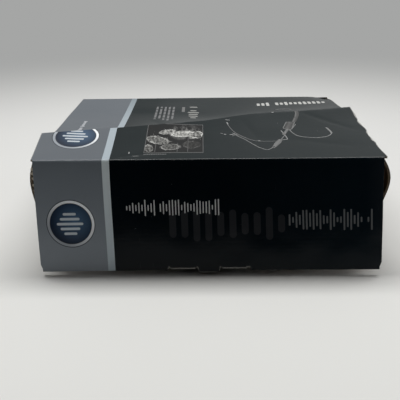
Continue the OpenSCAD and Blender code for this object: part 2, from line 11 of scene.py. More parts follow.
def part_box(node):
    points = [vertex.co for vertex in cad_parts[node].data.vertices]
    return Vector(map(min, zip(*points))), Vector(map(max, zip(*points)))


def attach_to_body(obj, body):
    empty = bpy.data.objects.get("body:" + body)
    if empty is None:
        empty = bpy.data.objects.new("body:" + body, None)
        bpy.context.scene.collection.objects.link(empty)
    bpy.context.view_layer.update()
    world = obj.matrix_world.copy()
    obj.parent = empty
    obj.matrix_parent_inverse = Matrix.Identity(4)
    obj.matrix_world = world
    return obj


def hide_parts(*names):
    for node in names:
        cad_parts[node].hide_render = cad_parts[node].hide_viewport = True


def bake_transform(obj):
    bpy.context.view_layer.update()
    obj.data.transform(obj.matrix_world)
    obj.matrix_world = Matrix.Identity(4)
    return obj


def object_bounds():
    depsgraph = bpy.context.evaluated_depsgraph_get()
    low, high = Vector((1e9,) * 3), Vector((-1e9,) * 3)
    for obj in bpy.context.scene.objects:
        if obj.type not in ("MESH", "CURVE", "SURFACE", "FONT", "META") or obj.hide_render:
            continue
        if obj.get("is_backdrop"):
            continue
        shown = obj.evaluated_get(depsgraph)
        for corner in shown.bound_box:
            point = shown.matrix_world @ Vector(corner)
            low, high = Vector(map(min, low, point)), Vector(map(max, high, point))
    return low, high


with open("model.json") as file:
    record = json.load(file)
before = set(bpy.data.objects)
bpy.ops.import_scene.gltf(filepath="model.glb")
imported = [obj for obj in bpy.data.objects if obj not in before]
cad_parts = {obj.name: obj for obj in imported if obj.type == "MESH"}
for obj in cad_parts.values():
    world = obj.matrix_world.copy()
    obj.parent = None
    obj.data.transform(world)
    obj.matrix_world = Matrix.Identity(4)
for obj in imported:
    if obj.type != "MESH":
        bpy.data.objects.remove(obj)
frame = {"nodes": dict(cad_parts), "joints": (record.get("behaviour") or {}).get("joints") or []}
CAD_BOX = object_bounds()
MM = 0.001


def box_mm(node):
    """The low and high corners of a CAD piece."""
    return [[axis * 1000 for axis in corner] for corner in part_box(node)]


HINGE = {joint["name"]: joint for joint in frame["joints"]}["box_lid_hinge"]["pos_m"]
HALF_DEPTH = HINGE[1] * 1000
LID_Z = HINGE[2] * 1000
WRAP_LOW, WRAP_HIGH = box_mm("wrap_bottom_panel")
HALF_WIDTH = WRAP_HIGH[0]
BOARD = WRAP_HIGH[2] - WRAP_LOW[2]      # board thickness
LID_HIGH = box_mm("lid_panel")[1]
RIDGE = LID_HIGH[2] - LID_Z             # height of the lid's crease
LID_HALF_WIDTH = LID_HIGH[0]
FOLD = 97.5                             # the front fold is at sheet y = -FOLD, the back at +FOLD
FLUTE_WAVE = 2 * pi / 3.1               # the board's flutes are 3.1 apart
EYE = (-4.2, -465.5, 211.3)             # camera position
BACKGROUND = 0.376                      # brightness of the backdrop


# ---------------------------------------------------------------- node helpers
def operation(kind, swapped=False):
    """A Value method that adds one math node."""
    def method(first, second=None):
        pair = (second, first) if swapped else (first, second)
        return first.shader.math(kind, *pair)
    return method


class Value:
    """An output in a node tree. Numbers can be combined with ordinary arithmetic."""
    def __init__(self, shader, socket):
        self.shader, self.socket = shader, socket

    __add__ = __radd__ = operation("ADD")
    __sub__ = operation("SUBTRACT")
    __rsub__ = operation("SUBTRACT", swapped=True)
    __mul__ = __rmul__ = operation("MULTIPLY")
    __truediv__ = operation("DIVIDE")
    __gt__ = operation("GREATER_THAN")
    __lt__ = operation("LESS_THAN")
    max = operation("MAXIMUM")
    abs = operation("ABSOLUTE")
    floor = operation("FLOOR")
    fract = operation("FRACT")
    sqrt = operation("SQRT")
    sin = operation("SINE")

    def clamp(self):
        return self.shader.math("ADD", self, 0.0, clamp=True)

    def between(self, low, high):
        return (self > low) * (self < high)


class Shader:
    """A node tree being wired up, for a material or the world."""
    def __init__(self, owner):
        owner.use_nodes = True
        self.owner, self.tree = owner, owner.node_tree
        self.tree.nodes.clear()

    def put(self, socket, value):
        """Links or sets an input. A three-part colour gets full alpha."""
        if isinstance(value, Value):
            value = value.socket
        if hasattr(value, "links"):
            self.tree.links.new(value, socket)
        elif isinstance(value, tuple) and len(value) == 3 and len(socket.default_value) == 4:
            socket.default_value = (*value, 1.0)
        else:
            socket.default_value = value

    def node(self, kind, inputs={}, **settings):
        node = self.tree.nodes.new("ShaderNode" + kind)
        for key, value in settings.items():
            setattr(node, key, value)
        for key, value in inputs.items():
            self.put(node.inputs[key], value)
        return node

    def output(self, key, kind, inputs={}, **settings):
        return Value(self, self.node(kind, inputs, **settings).outputs[key])

    def math(self, kind, *operands, clamp=False):
        inputs = {k: operand for k, operand in enumerate(operands) if operand is not None}
        return self.output(0, "Math", inputs, operation=kind, use_clamp=clamp)

    def split(self, vector):
        outputs = self.node("SeparateXYZ", {0: vector}).outputs
        return [Value(self, socket) for socket in outputs]


class Material(Shader):
    INPUTS = {"color": "Base Color", "rough": "Roughness", "metal": "Metallic",
              "spec": "Specular IOR Level", "coat": "Coat Weight",
              "sheen": "Sheen Weight", "sheen_rough": "Sheen Roughness"}

    def __init__(self, name):
        super().__init__(bpy.data.materials.new(name))
        self.name = name
        self.bsdf = self.node("BsdfPrincipled")
        self.surface = self.node("OutputMaterial", {0: self.bsdf.outputs[0]}).inputs[0]
        self.normal = None

    def factor(self, name):
        return self.output("Fac", "Attribute", attribute_name=name)

    def sheet(self):
        """x, y and the whole vector of the place on the unfolded sheet."""
        vector = self.output("Vector", "Attribute", attribute_name="sheet")
        x, y, _ = self.split(vector)
        return x, y, vector

    def position(self):
        return self.output("Object", "TexCoord")

    def scaled(self, vector, scale):
        return self.output(0, "Mapping", {0: vector, "Scale": scale})

    def noise(self, vector, scale, detail=3.0, rough=0.55):
        return self.output(0, "TexNoise", {"Vector": vector, "Scale": scale,
                                           "Detail": detail, "Roughness": rough})

    def cells(self, vector, scale):
        return self.output("Distance", "TexVoronoi", {"Vector": vector, "Scale": scale})

    def white(self, first, second):
        """One random number for each pair of values."""
        pair = self.output(0, "CombineXYZ", {0: first, 1: second})
        return self.output("Value", "TexWhiteNoise", {"Vector": pair}, noise_dimensions="2D")

    def mix(self, factor, first, second):
        return self.output(2, "Mix", {0: factor, 6: first, 7: second}, data_type="RGBA")

    def ramp(self, factor, stops):
        """A colour ramp with three stops."""
        node = self.node("ValToRGB", {0: factor})
        elements = node.color_ramp.elements
        elements.new(0.5)
        for k, (place, color) in enumerate(stops):
            elements[k].position = place
            elements[k].color = (*color, 1.0)
        return Value(self, node.outputs[0])

    def bump(self, height, strength, distance):
        """Adds a bump on top of those before it."""
        inputs = {"Height": height, "Strength": strength, "Distance": distance}
        if self.normal is not None:
            inputs["Normal"] = self.normal
        self.normal = self.output(0, "Bump", inputs)
        self.put(self.bsdf.inputs["Normal"], self.normal)

    def finish(self, **inputs):
        for key, value in inputs.items():
            self.put(self.bsdf.inputs[self.INPUTS[key]], value)
        MATERIALS[self.name] = self.owner
        return self.owner


MATERIALS = {}


def tinted(color, tint):
    return tuple(part * tint for part in color)


# ---------------------------------------------------------------- printed artwork
# Sheet x runs across; sheet y runs from the flap's foot, over the lid, down the back.
BAND_X, STRIPE_X = -75.4, -70.1     # right edges of the grey band and of its pale stripe
ROUNDELS = ((-100.4, -143.3), (-99.6, -63.6))
PICTURE_CENTRE, PICTURE_HALF = (-24.9, -62.3), (21.7, 24.3)


def level_bars(mat, x, y, start, end, centre, pitch, width, shortest, longest, seed):
    """Round-ended upright bars from x = start to end, centred on y, like a level display."""
    column = ((x - start) / pitch).floor()
    aside = (((x - start) / pitch).fract() - 0.5).abs() * pitch
    size = mat.white(column, seed)
    present = mat.white(column, seed + 7.3)
    height = shortest + (longest - shortest) * size
    beyond = ((y - centre).abs() - (height * 0.5 - width * 0.5)).max(0.0)
    distance = (aside * aside + beyond * beyond).sqrt()
    return (distance < width * 0.5) * x.between(start, end) * (present > 0.06)


def small_print(mat, x, y, low, high, start, pitch, count, width, word, seed):
    """Thin lines, pitch apart in x, each running along y with word gaps and a ragged start."""
    line = ((x - start) / pitch).floor()
    inked = (((x - start) / pitch).fract() - 0.5).abs() < (width / pitch * 0.5)
    shift = mat.white((y / word).floor(), line + seed)
    gap = ((y + shift * word * 0.4) / word).fract() > 0.16
    ragged = y > (low + 9.0 * mat.white(line, seed + 3.0))
    return inked * gap * ragged * y.between(low, high) * line.between(-0.5, count - 0.5)


def roundel(mat, x, y, color, centre_x, centre_y, outer=17.3, inner=15.1):
    """A blue disc with five level bars, in a silver ring with dark rims."""
    dx, dy = x - centre_x, y - centre_y
    radius = (dx * dx + dy * dy).sqrt()
    ring = radius.between(inner, outer)
    rim = radius.between(inner - 0.35, inner + 0.15).max(
        radius.between(outer - 0.15, outer + 0.4))
    disc = radius < inner
    low, pitch = 9.0, 3.6       # the bars start this far below the centre
    row = ((dy + low) / pitch).floor()
    aside = (((dy + low) / pitch).fract() - 0.5).abs() * pitch
    height = 3.2 + 6.4 * (1.0 - ((row - 2.0) * 0.42).abs())
    beyond = ((dx + 0.5).abs() - height * 0.9).max(0.0)
    bars = ((aside * aside + beyond * beyond).sqrt() < 0.95) * row.between(-0.5, 4.5)
    # the blue darkens away from a point up and right of the centre
    off_centre = ((dx - 3.0) * (dx - 3.0) + (dy - 2.0) * (dy - 2.0)).sqrt()
    blue = mat.mix((off_centre / 17.0).clamp(), (0.075, 0.135, 0.225), (0.012, 0.021, 0.042))
    silver = mat.mix((0.5 + (dx + dy) * 0.026).clamp(), (0.33, 0.36, 0.40), (0.92, 0.95, 0.98))
    for part, ink in ((disc, blue), (bars * disc, (0.55, 0.60, 0.64)), (ring, silver),
                      (rim, (0.035, 0.04, 0.05))):
        color = mat.mix(part, color, ink)
    return color


def ground(mat, x, y, broad):
    """Near-black blue. The flap pales to the right; the lid is greener."""
    color = mat.mix(broad, (0.0006, 0.0022, 0.0038), (0.0016, 0.0048, 0.0076))
    color = mat.mix((y < -FOLD) * ((x - 10.0) / 100.0).clamp(), color,
                    mat.mix(broad, (0.0016, 0.0056, 0.0092), (0.0030, 0.0080, 0.0120)))
    color = mat.mix((y < -FOLD) * ((x - 112.0) / 12.0).clamp() * 0.8, color,
                    (0.0110, 0.0140, 0.0180))
    return mat.mix(y > -FOLD, color,
                   mat.mix(broad, (0.0002, 0.0046, 0.0060), (0.0010, 0.0082, 0.0100)))


def headings(mat, x, y, color):
    """Level bars and lines that stand for words, on the flap and the lid."""
    flap_y = y + FOLD
    # x, y, (start, end, centre, pitch, width, shortest, longest, seed), colour
    for across, along, layout, ink in (
            (x, flap_y, (-30.8, 56.0, -47.0, 8.68, 5.0, 13.0, 26.0, 2.0),
             (0.019, 0.0205, 0.0235)),
            (x, flap_y, (-60.2, 8.2, -34.6, 2.2, 0.85, 3.0, 12.0, 5.0), (0.50, 0.51, 0.52)),
            (x, flap_y, (56.2, 117.4, -44.45, 2.45, 1.2, 3.4, 16.0, 9.0), (0.12, 0.125, 0.13)),
            (x, y, (49.5, 117.5, 70.5, 4.55, 3.0, 7.0, 12.5, 14.0), (0.50, 0.50, 0.485)),
            (y, x, (24.0, 66.0, -12.0, 6.0, 3.2, 5.5, 11.0, 17.0), (0.26, 0.26, 0.25))):
        color = mat.mix(level_bars(mat, across, along, *layout), color, ink)
    small = small_print(mat, x, y, low=11.0, high=62.0, start=-48.5, pitch=3.9, count=5,
                        width=1.9, word=11.0, seed=21.0)
    color = mat.mix(small, color, (0.16, 0.16, 0.165))
    tick = x.between(-23.0, -20.2) * y.between(46.0, 62.0)
    return mat.mix(tick, color, (0.15, 0.15, 0.15))


def oval(x, y, centre_x, centre_y, half_length, half_width, angle):
    """Distance from the centre of a turned ellipse, 1 on its edge."""
    cosine, sine = cos(radians(angle)), sin(radians(angle))
    dx, dy = x - centre_x, y - centre_y
    along = (dx * cosine + dy * sine) / half_length
    aside = (dy * cosine - dx * sine) / half_width
    return (along * along + aside * aside).sqrt()


# centre x, y, half length, half width, angle, body grey, rim grey
DRUMS = (
    (-37.5, -66.0, 9.0, 6.0, -24, 0.085, 0.30), (-27.5, -77.0, 7.5, 5.0, 12, 0.05, 0.20),
    (-12.0, -73.0, 6.5, 6.5, 0, 0.012, 0.05), (-19.0, -55.0, 9.5, 5.0, 14, 0.20, 0.42),
    (-8.5, -56.0, 5.0, 7.0, -30, 0.10, 0.46), (-31.0, -52.0, 6.5, 3.5, 24, 0.16, 0.40),
    (-43.5, -79.0, 3.2, 6.0, 10, 0.07, 0.24))
# left, right and top of the thin stands
STANDS = ((-38.9, -38.3, -58.0), (-14.9, -14.4, -60.0), (-22.6, -22.1, -70.0))
# centre x, y, half width, half height of small pale marks
SPOTS = ((-57.1, -86.4, 0.45, 1.6), (56.2, -5.4, 1.1, 0.7), (-52.0, -91.0, 2.4, 0.25))


def drum_scene(mat, x, y, sheet):
    """Drums and cymbals under lamps."""
    grain = mat.noise(mat.scaled(sheet, (1.0, 0.42, 1)), scale=0.62, detail=5, rough=0.75)
    blotch = mat.noise(mat.scaled(sheet, (1.0, 0.5, 1)), scale=0.21, detail=4, rough=0.7)
    lit = ((1.0 - oval(x, y, -17.0, -52.0, 15.0, 15.0, -18)).clamp() * 1.3).clamp()
    scene = mat.mix(lit * ((blotch - 0.47) * 6.0).clamp(), (0.004, 0.0045, 0.005),
                    (0.30, 0.30, 0.29))
    for *shape, body, rim in DRUMS:
        radius = oval(x, y, *shape) + (grain - 0.5) * 0.75 + (blotch - 0.5) * 1.3
        skin = mat.mix(((grain - 0.40) * 4.0).clamp(), tinted((0.25, 0.25, 0.25), body),
                       tinted((4.2, 4.2, 4.0), body))
        scene = mat.mix((radius < 1.0) * 0.9, scene, skin)
        scene = mat.mix(radius.between(0.84, 1.03) * (0.10 + 0.90 * (blotch > 0.50)), scene,
                        tinted((1.5, 1.5, 1.45), rim))
    for left, right, top in STANDS:
        scene = mat.mix(x.between(left, right) * y.between(-85.0, top) * 0.7, scene,
                        (0.12, 0.12, 0.12))
    spark = (grain > 0.66) * (oval(x, y, -24.0, -58.0, 20.0, 13.0, 0) < 1.0)
    return mat.mix(spark * 0.95, scene, (0.95, 0.95, 0.92))


def picture(mat, x, y, sheet, color):
    """The framed scene on the lid, its caption and some small marks."""
    (centre_x, centre_y), (half_width, half_height) = PICTURE_CENTRE, PICTURE_HALF
    dx, dy = (x - centre_x).abs(), (y - centre_y).abs()
    inside = (dx < half_width) * (dy < half_height)
    scene = drum_scene(mat, x, y, sheet)
    caption = y.between(-89.3, -88.1) * x.between(-46.6, -30.0) * ((x / 1.3).fract() > 0.3)
    color = mat.mix(caption * 0.7, color, (0.22, 0.22, 0.22))
    for spot_x, spot_y, half_x, half_y in SPOTS:
        spot = (((x - spot_x) / half_x) * ((x - spot_x) / half_x)
                + ((y - spot_y) / half_y) * ((y - spot_y) / half_y) < 1.0)
        color = mat.mix(spot * 0.8, color, (0.42, 0.42, 0.41))
    color = mat.mix(inside, color, scene)
    border = inside * (1.0 - (dx < half_width - 0.45) * (dy < half_height - 0.8))
    return mat.mix(border * 0.8, color, (0.15, 0.15, 0.15))


def side_band(mat, x, y, sheet, color):
    """The grey band down the left, its pale stripe and its lettering, with painted light on the
    flap and painted shade towards the lid's back.
    """
    grey = mat.mix(mat.noise(sheet, scale=0.05, detail=2),
                   (0.120, 0.135, 0.153), (0.131, 0.146, 0.165))
    low = ((y + 100.0) / -80.0).clamp()     # 0 at the front fold, 1 at the flap's foot
    # on the flap the grey is lighter than on the lid and brightens towards the foot: painted light
    # from the front and from the floor below
    grey = mat.mix(y < -FOLD, grey, mat.mix(low, (0.170, 0.194, 0.222), (0.258, 0.287, 0.322)))
    color = mat.mix(x < BAND_X, color, grey)
    stripe = mat.mix(mat.noise(mat.scaled(sheet, (1, 0.03, 1)), scale=0.9, detail=2),
                     (0.37, 0.43, 0.475), (0.435, 0.495, 0.54))
    # on the lid the stripe darkens towards the back: painted shade
    stripe = mat.mix(((y + 20.0) / 110.0).clamp(), stripe, (0.235, 0.275, 0.305))
    # on the flap the stripe is its print colour lightened with painted light, paler at the fold
    # than at the foot
    stripe = mat.mix(y < -FOLD, stripe, mat.mix(low, (0.66, 0.73, 0.76), (0.44, 0.51, 0.56)))
    color = mat.mix(x.between(BAND_X, STRIPE_X), color, stripe)
    label = level_bars(mat, y, x, start=-40.0, end=9.0, centre=-106.5, pitch=2.6, width=1.6,
                       shortest=2.0, longest=4.0, seed=31.0)
    return mat.mix(label, color, (0.55, 0.57, 0.6))


def printed_board():
    mat = Material("printed_board")
    x, y, sheet = mat.sheet()
    wear = mat.factor("wear")
    fine = mat.noise(sheet, scale=2.2, detail=4)
    broad = mat.noise(sheet, scale=0.022)
    color = ground(mat, x, y, broad)
    color = headings(mat, x, y, color)
    color = picture(mat, x, y, sheet, color)
    color = side_band(mat, x, y, sheet, color)
    rough = 0.14 + 0.07 * fine + 0.07 * broad
    for centre in ROUNDELS:
        color = roundel(mat, x, y, color, *centre)
    # rubbed fibres on folds and edges, faint scuffs and specks of dust
    fray = mat.noise(sheet, scale=0.9, detail=5, rough=0.7)
    worn = ((wear * 1.6 + fray - 1.02) * 3.2).clamp()
    color = mat.mix(worn * 0.8, color, (0.40, 0.39, 0.37))
    streak_x = mat.noise(mat.scaled(sheet, (0.08, 0.9, 1)), scale=1.3, detail=4, rough=0.7)
    streak_y = mat.noise(mat.scaled(sheet, (0.7, 0.05, 1)), scale=1.1, detail=4, rough=0.7)
    scuff = ((streak_x.max(streak_y) - 0.665) * 9.0).clamp()
    color = mat.mix(scuff * 0.10, color, (0.30, 0.31, 0.32))
    speck = mat.cells(sheet, scale=0.075) < (0.028 * mat.noise(sheet, scale=0.06, detail=1))
    color = mat.mix(speck * 0.55, color, (0.55, 0.54, 0.52))
    mat.bump(fine, strength=0.10, distance=0.00006)
    mat.bump(mat.noise(sheet, scale=0.20), strength=0.25, distance=0.00035)
    mat.bump((y * FLUTE_WAVE).sin(), strength=0.05, distance=0.00006)
    # less shine on the flap and towards the lid's back left
    back_left = (y > -FOLD) * ((y + 20.0) / 60.0).clamp() * ((40.0 - x) / 90.0).clamp()
    back_left = 0.28 * (y > -FOLD) * ((y + 20.0) / 60.0).clamp() * ((40.0 - x) / 90.0).clamp()
    mat.finish(color=color, rough=(rough + worn * 0.35 + scuff * 0.08).clamp(),
               spec=0.345 - 0.25 * (y < -FOLD) - back_left)


# ---------------------------------------------------------------- other materials
def kraft(name, tint, plane=None, grey=0.0):
    """Brown board. plane picks the object axes used as sheet x and y on a plain CAD panel."""
    mat = Material(name)
    if plane:
        axes = mat.split(mat.scaled(mat.position(), (1000, 1000, 1000)))
        x, y = axes[plane[0]], axes[plane[1]]
        sheet = mat.output(0, "CombineXYZ", {0: x, 1: y})
    else:
        x, y, sheet = mat.sheet()
    fibres = mat.noise(mat.scaled(sheet, (0.35, 2.4, 1)), scale=1.2, detail=5, rough=0.7)
    patches = mat.noise(sheet, scale=0.05)
    base = mat.ramp(fibres, [(0.25, tinted((0.17, 0.108, 0.058), tint)),
                             (0.5, tinted((0.27, 0.178, 0.10), tint)),
                             (0.8, tinted((0.38, 0.265, 0.16), tint))])
    color = mat.mix(patches * 0.35, base, tinted((0.20, 0.125, 0.065), tint))
    flecks = mat.noise(mat.scaled(sheet, (0.25, 6.0, 1)), scale=2.4, rough=0.8) > 0.70
    color = mat.mix(flecks * 0.35, color, (0.10, 0.062, 0.034))
    flute = (x * FLUTE_WAVE).sin()
    color = mat.mix((flute * 0.5 + 0.5) * 0.20, color, tinted((0.12, 0.075, 0.04), tint))
    stain = mat.noise(mat.scaled(sheet, (0.5, 1.4, 1)), scale=0.016, detail=4, rough=0.6)
    color = mat.mix(((stain - 0.52) * 5.0).clamp() * 0.30, color,
                    tinted((0.11, 0.07, 0.038), tint))
    rub = mat.noise(mat.scaled(sheet, (1.0, 0.06, 1)), scale=0.5, detail=5, rough=0.75)
    color = mat.mix(((rub - 0.62) * 8.0).clamp() * 0.30, color,
                    tinted((0.46, 0.34, 0.22), tint))
    if grey:    # end walls: a scored line along the foot and one under the top, rubbed pale
        foot, top = 9.0, 77.5
        score = ((y - foot).abs() < 0.45).max((y - top).abs() < 0.4)
        pale = (1.0 - (y - foot).abs() / 1.6).clamp().max(
            (1.0 - (y - top).abs() / 1.6).clamp()).max(((y - 80.0) / 3.0).clamp())
        color = mat.mix(pale * (fibres * 0.9), color, tinted((0.50, 0.37, 0.24), tint))
        color = mat.mix(score * 0.6, color, tinted((0.07, 0.045, 0.024), tint))
        mat.bump(1.0 - score, strength=0.5, distance=0.0003)
    mat.bump(fibres, strength=0.35, distance=0.00012)
    mat.bump(flute, strength=0.45, distance=0.00014)
    if grey:
        color = mat.mix(grey, color, (0.135, 0.127, 0.114))
    mat.finish(color=color, rough=0.86, spec=0.18)


def board_rim():
    """The cut edge of corrugated board: two liners with the fluting between them, and painted
    shade in the hollows between the flutes.
    """
    mat = Material("board_rim")
    x, y, sheet = mat.sheet()
    depth = mat.factor("rimt")      # 0 on the outer face, 1 on the inner
    wave = ((x + y) * FLUTE_WAVE).sin()
    off_wave = (depth - 0.5 - 0.30 * wave).abs()
    paper = (off_wave < 0.12).max(depth < 0.16).max(depth > 0.84)
    liner = mat.mix(mat.noise(sheet, scale=1.8, detail=4),
                    (0.20, 0.150, 0.105), (0.36, 0.280, 0.200))
    # the hollows between the liners and the flutes get a dark brown: painted shade
    color = mat.mix(paper, (0.066, 0.058, 0.047), liner)
    color = mat.mix((depth < 0.13) * 0.75, color, (0.012, 0.012, 0.014))
    mat.bump(paper, strength=0.6, distance=0.0003)
    mat.finish(color=color, rough=0.9, spec=0.15)


def plain(name, dark, light, rough, scale, bump, distance, stretch=(1, 1, 1), metal=0.0,
          spec=0.5, sheen=0.0, coat=0.0):
    """A fine grain between two colours, with a slow change in shade and roughness."""
    mat = Material(name)
    grain = mat.noise(mat.scaled(mat.position(), stretch), scale=scale)
    broad = mat.noise(mat.position(), scale=60.0)
    color = mat.mix(grain, dark, light)
    color = mat.mix(broad * 0.25, color, tinted(dark, 0.7))
    mat.bump(grain, bump, distance)
    spread = 0.12
    mat.finish(color=color, rough=(rough - spread * 0.5 + spread * broad).clamp(), metal=metal,
               spec=spec, sheen=sheen, coat=coat)


def foam(name, dark, light, cell, distance):
    """Open-cell foam, with painted shade in its pores; cell is the scale of the larger pores."""
    mat = Material(name)
    place = mat.position()
    large = mat.cells(place, scale=cell)
    small = mat.cells(place, scale=cell * 2.3)
    broad = mat.noise(place, scale=cell * 0.35, detail=4)
    pores = (large * 1.1).clamp()
    # darker towards each pore's centre and nearly black in the small pores: painted shade in the
    # pores
    color = mat.mix((pores * 0.65 + broad * 0.4).clamp(), dark, light)
    color = mat.mix(((0.20 - small) * 5.0).clamp() * 0.5, color, (0.002, 0.002, 0.002))
    mat.bump(pores + small * 0.5, strength=0.9, distance=distance)
    mat.finish(color=color, rough=0.95, spec=0.12, sheen=0.25, sheen_rough=0.6)


def leaflet_paper():
    """A plain cover: a dark band, lines of small print and a figure of level bars."""
    mat = Material("leaflet_paper")
    x, y, sheet = mat.sheet()
    color = mat.mix(mat.noise(sheet, scale=1.5, detail=5), (0.70, 0.70, 0.68),
                    (0.80, 0.80, 0.78))
    color = mat.mix(y.between(48.5, 56.0) * x.between(4.0, 94.0), color, (0.07, 0.08, 0.09))
    body = small_print(mat, y, x, low=7.0, high=46.0, start=5.5, pitch=3.4, count=11,
                       width=1.1, word=7.0, seed=41.0)
    color = mat.mix(body * 0.8, color, (0.14, 0.14, 0.14))
    figure = level_bars(mat, x, y, start=54.0, end=92.0, centre=25.0, pitch=3.4, width=1.6,
                        shortest=5.0, longest=24.0, seed=47.0)
    color = mat.mix(figure, color, (0.20, 0.26, 0.33))
    mat.bump(mat.noise(sheet, scale=1.2, detail=5), strength=0.25, distance=0.00006)
    mat.finish(color=color, rough=0.72, spec=0.25)


def printed_ink():
    mat = Material("printed_ink")
    tone = mat.factor("ink")
    white = mat.mix(mat.noise(mat.position(), scale=1800.0), (0.88, 0.89, 0.90),
                    (1.0, 1.0, 1.0))
    mat.finish(color=mat.mix(tone, (0.0, 0.0, 0.0), white), rough=0.30, spec=0.4)


printed_board()
kraft("kraft_outer", tint=0.46, grey=0.58)
kraft("kraft_inner", tint=0.9)
board_rim()
foam("insert_foam", (0.018, 0.018, 0.020), (0.054, 0.054, 0.058), cell=1500.0, distance=0.00035)
foam("windscreen_foam", (0.006, 0.006, 0.006), (0.030, 0.030, 0.031), cell=2300.0,
     distance=0.0003)
plain("steel_wire", (0.42, 0.43, 0.45), (0.66, 0.67, 0.69), rough=0.26, scale=5200.0,
      bump=0.12, distance=0.00003, metal=1.0, stretch=(1, 0.12, 0.12))
plain("moulded_black", (0.012, 0.012, 0.013), (0.026, 0.026, 0.028), rough=0.46, scale=3800.0,
      bump=0.22, distance=0.00005)
plain("soft_rubber", (0.016, 0.016, 0.017), (0.034, 0.034, 0.036), rough=0.62, scale=2600.0,
      bump=0.15, distance=0.00005, spec=0.35, sheen=0.15)
plain("boom_black", (0.010, 0.010, 0.011), (0.022, 0.022, 0.024), rough=0.34, scale=4200.0,
      bump=0.10, distance=0.00003, coat=0.2)
plain("capsule_brass", (0.62, 0.44, 0.16), (0.80, 0.62, 0.28), rough=0.24, scale=4000.0,
      bump=0.08, distance=0.00002, metal=1.0)
plain("grille_steel", (0.22, 0.22, 0.24), (0.40, 0.41, 0.43), rough=0.34, scale=5000.0,
      bump=0.15, distance=0.00003, metal=1.0)
plain("nickel_shell", (0.46, 0.46, 0.47), (0.62, 0.62, 0.63), rough=0.24, scale=3600.0,
      bump=0.08, distance=0.00003, metal=1.0, stretch=(1, 0.15, 1))
plain("cable_jacket", (0.010, 0.010, 0.010), (0.024, 0.024, 0.025), rough=0.50, scale=3000.0,
      bump=0.12, distance=0.00004)
plain("torn_paper", (0.42, 0.36, 0.28), (0.72, 0.66, 0.56), rough=0.9, scale=2200.0,
      bump=0.3, distance=0.0001, spec=0.1)
leaflet_paper()
kraft("kraft_floor", tint=0.9, plane=(0, 1))
kraft("kraft_panels", tint=0.95, plane=(0, 2))
printed_ink()


# ---------------------------------------------------------------- shape helpers
def wobble(x, y, z):
    """Smooth noise at a point."""
    return noise.noise(Vector((x, y, z)))


def unit(value):
    return min(1.0, max(0.0, value))


def smoothstep(low, high, value):
    t = unit((value - low) / (high - low))
    return t * t * (3 - 2 * t)


def bell(offset, width):
    return exp(-(offset / width) ** 2)


def metres(*point):
    return tuple(part * MM for part in point)


def add_object(name, data):
    obj = bpy.data.objects.new(name, data)
    bpy.context.scene.collection.objects.link(obj)
    return obj


def attach(obj, slot, *replaced, body=None):
    """Tells the frame which body an object rides on and what it replaces; slot is not used."""
    if body:
        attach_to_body(obj, body)
    if replaced:
        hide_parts(*replaced)


def blend_with_lid(obj):
    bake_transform(obj)


def new_mesh(name, vertices, faces, materials, sharp_angle, material_index=None, attributes={}):
    """A smooth-shaded mesh object. Attributes hold one number or vector for each vertex."""
    mesh = bpy.data.meshes.new(name)
    mesh.from_pydata([tuple(vertex) for vertex in vertices], [], faces)
    for material in materials:
        mesh.materials.append(MATERIALS[material])
    if material_index is not None:
        mesh.polygons.foreach_set("material_index", np.array(material_index, np.int32))
    for key, values in attributes.items():
        values = np.array(values, np.float32)
        kind, field = ("FLOAT_VECTOR", "vector") if values.ndim == 2 else ("FLOAT", "value")
        mesh.attributes.new(key, kind, "POINT").data.foreach_set(field, values.ravel())
    mesh.update()
    mesh.validate()
    mesh.shade_smooth()
    if sharp_angle:
        mesh.set_sharp_from_angle(angle=radians(sharp_angle))
    return add_object(name, mesh)


def grid_quads(columns, rows, start=0, keep=None):
    step = rows + 1
    corners = [start + i * step + j for i in range(columns) for j in range(rows)
               if keep is None or keep(i, j)]
    return [(k, k + step, k + step + 1, k + 1) for k in corners]


def slab_faces(columns, rows, start, back):
    """Both faces of a thin slab; back is how much later the rear vertices come."""
    faces = []
    for a, b, c, d in grid_quads(columns, rows, start):
        faces += [(a, b, c, d), (a + back, d + back, c + back, b + back)]
    return faces


def board(name, columns, rows, place, thickness, keep=None, flip=False, outer="printed_board"):
    """A board from place(i, j) -> (point, outward normal, sheet place, wear)."""
    grid = [place(i, j) for i in range(columns + 1) for j in range(rows + 1)]
    points, normals, sheet, wear = (np.array(part, float) for part in zip(*grid))
    normals /= np.linalg.norm(normals, axis=1)[:, None]
    vertices = np.concatenate([points, points - normals * thickness]) * MM
    sheet = np.pad(sheet, ((0, 0), (0, 1)))
    inner = len(points)
    quads = grid_quads(columns, rows, keep=keep)
    if flip:
        quads = [(a, d, c, b) for a, b, c, d in quads]
    faces = []
    for quad in quads:
        faces += [quad, tuple(k + inner for k in reversed(quad))]
    edges = [(quad[k], quad[(k + 1) % 4]) for quad in quads for k in range(4)]
    uses = Counter(map(frozenset, edges))
    rim = [(b, a, a + inner, b + inner) for a, b in edges if uses[frozenset((a, b))] == 1]
    faces += rim
    used = sorted({k for face in faces for k in face})
    renumbered = {old: new for new, old in enumerate(used)}
    faces = [tuple(renumbered[k] for k in face) for face in faces]
    attributes = {"sheet": np.concatenate([sheet, sheet])[used],
                  "wear": np.concatenate([wear, wear])[used],
                  "rimt": np.concatenate([np.zeros(inner), np.ones(inner)])[used]}
    return new_mesh(name, vertices[used], faces, (outer, "kraft_inner", "board_rim"), 40.0,
                    [0, 1] * len(quads) + [2] * len(rim), attributes)


def ring_faces(rings, sides):
    """Walls between successive rings, and a cap at each end."""
    faces = []
    for i in range(rings - 1):
        for k in range(sides):
            a, b = i * sides + k, i * sides + (k + 1) % sides
            faces.append((a, b, b + sides, a + sides))
    last = (rings - 1) * sides
    return faces + [tuple(reversed(range(sides))), tuple(range(last, last + sides))]


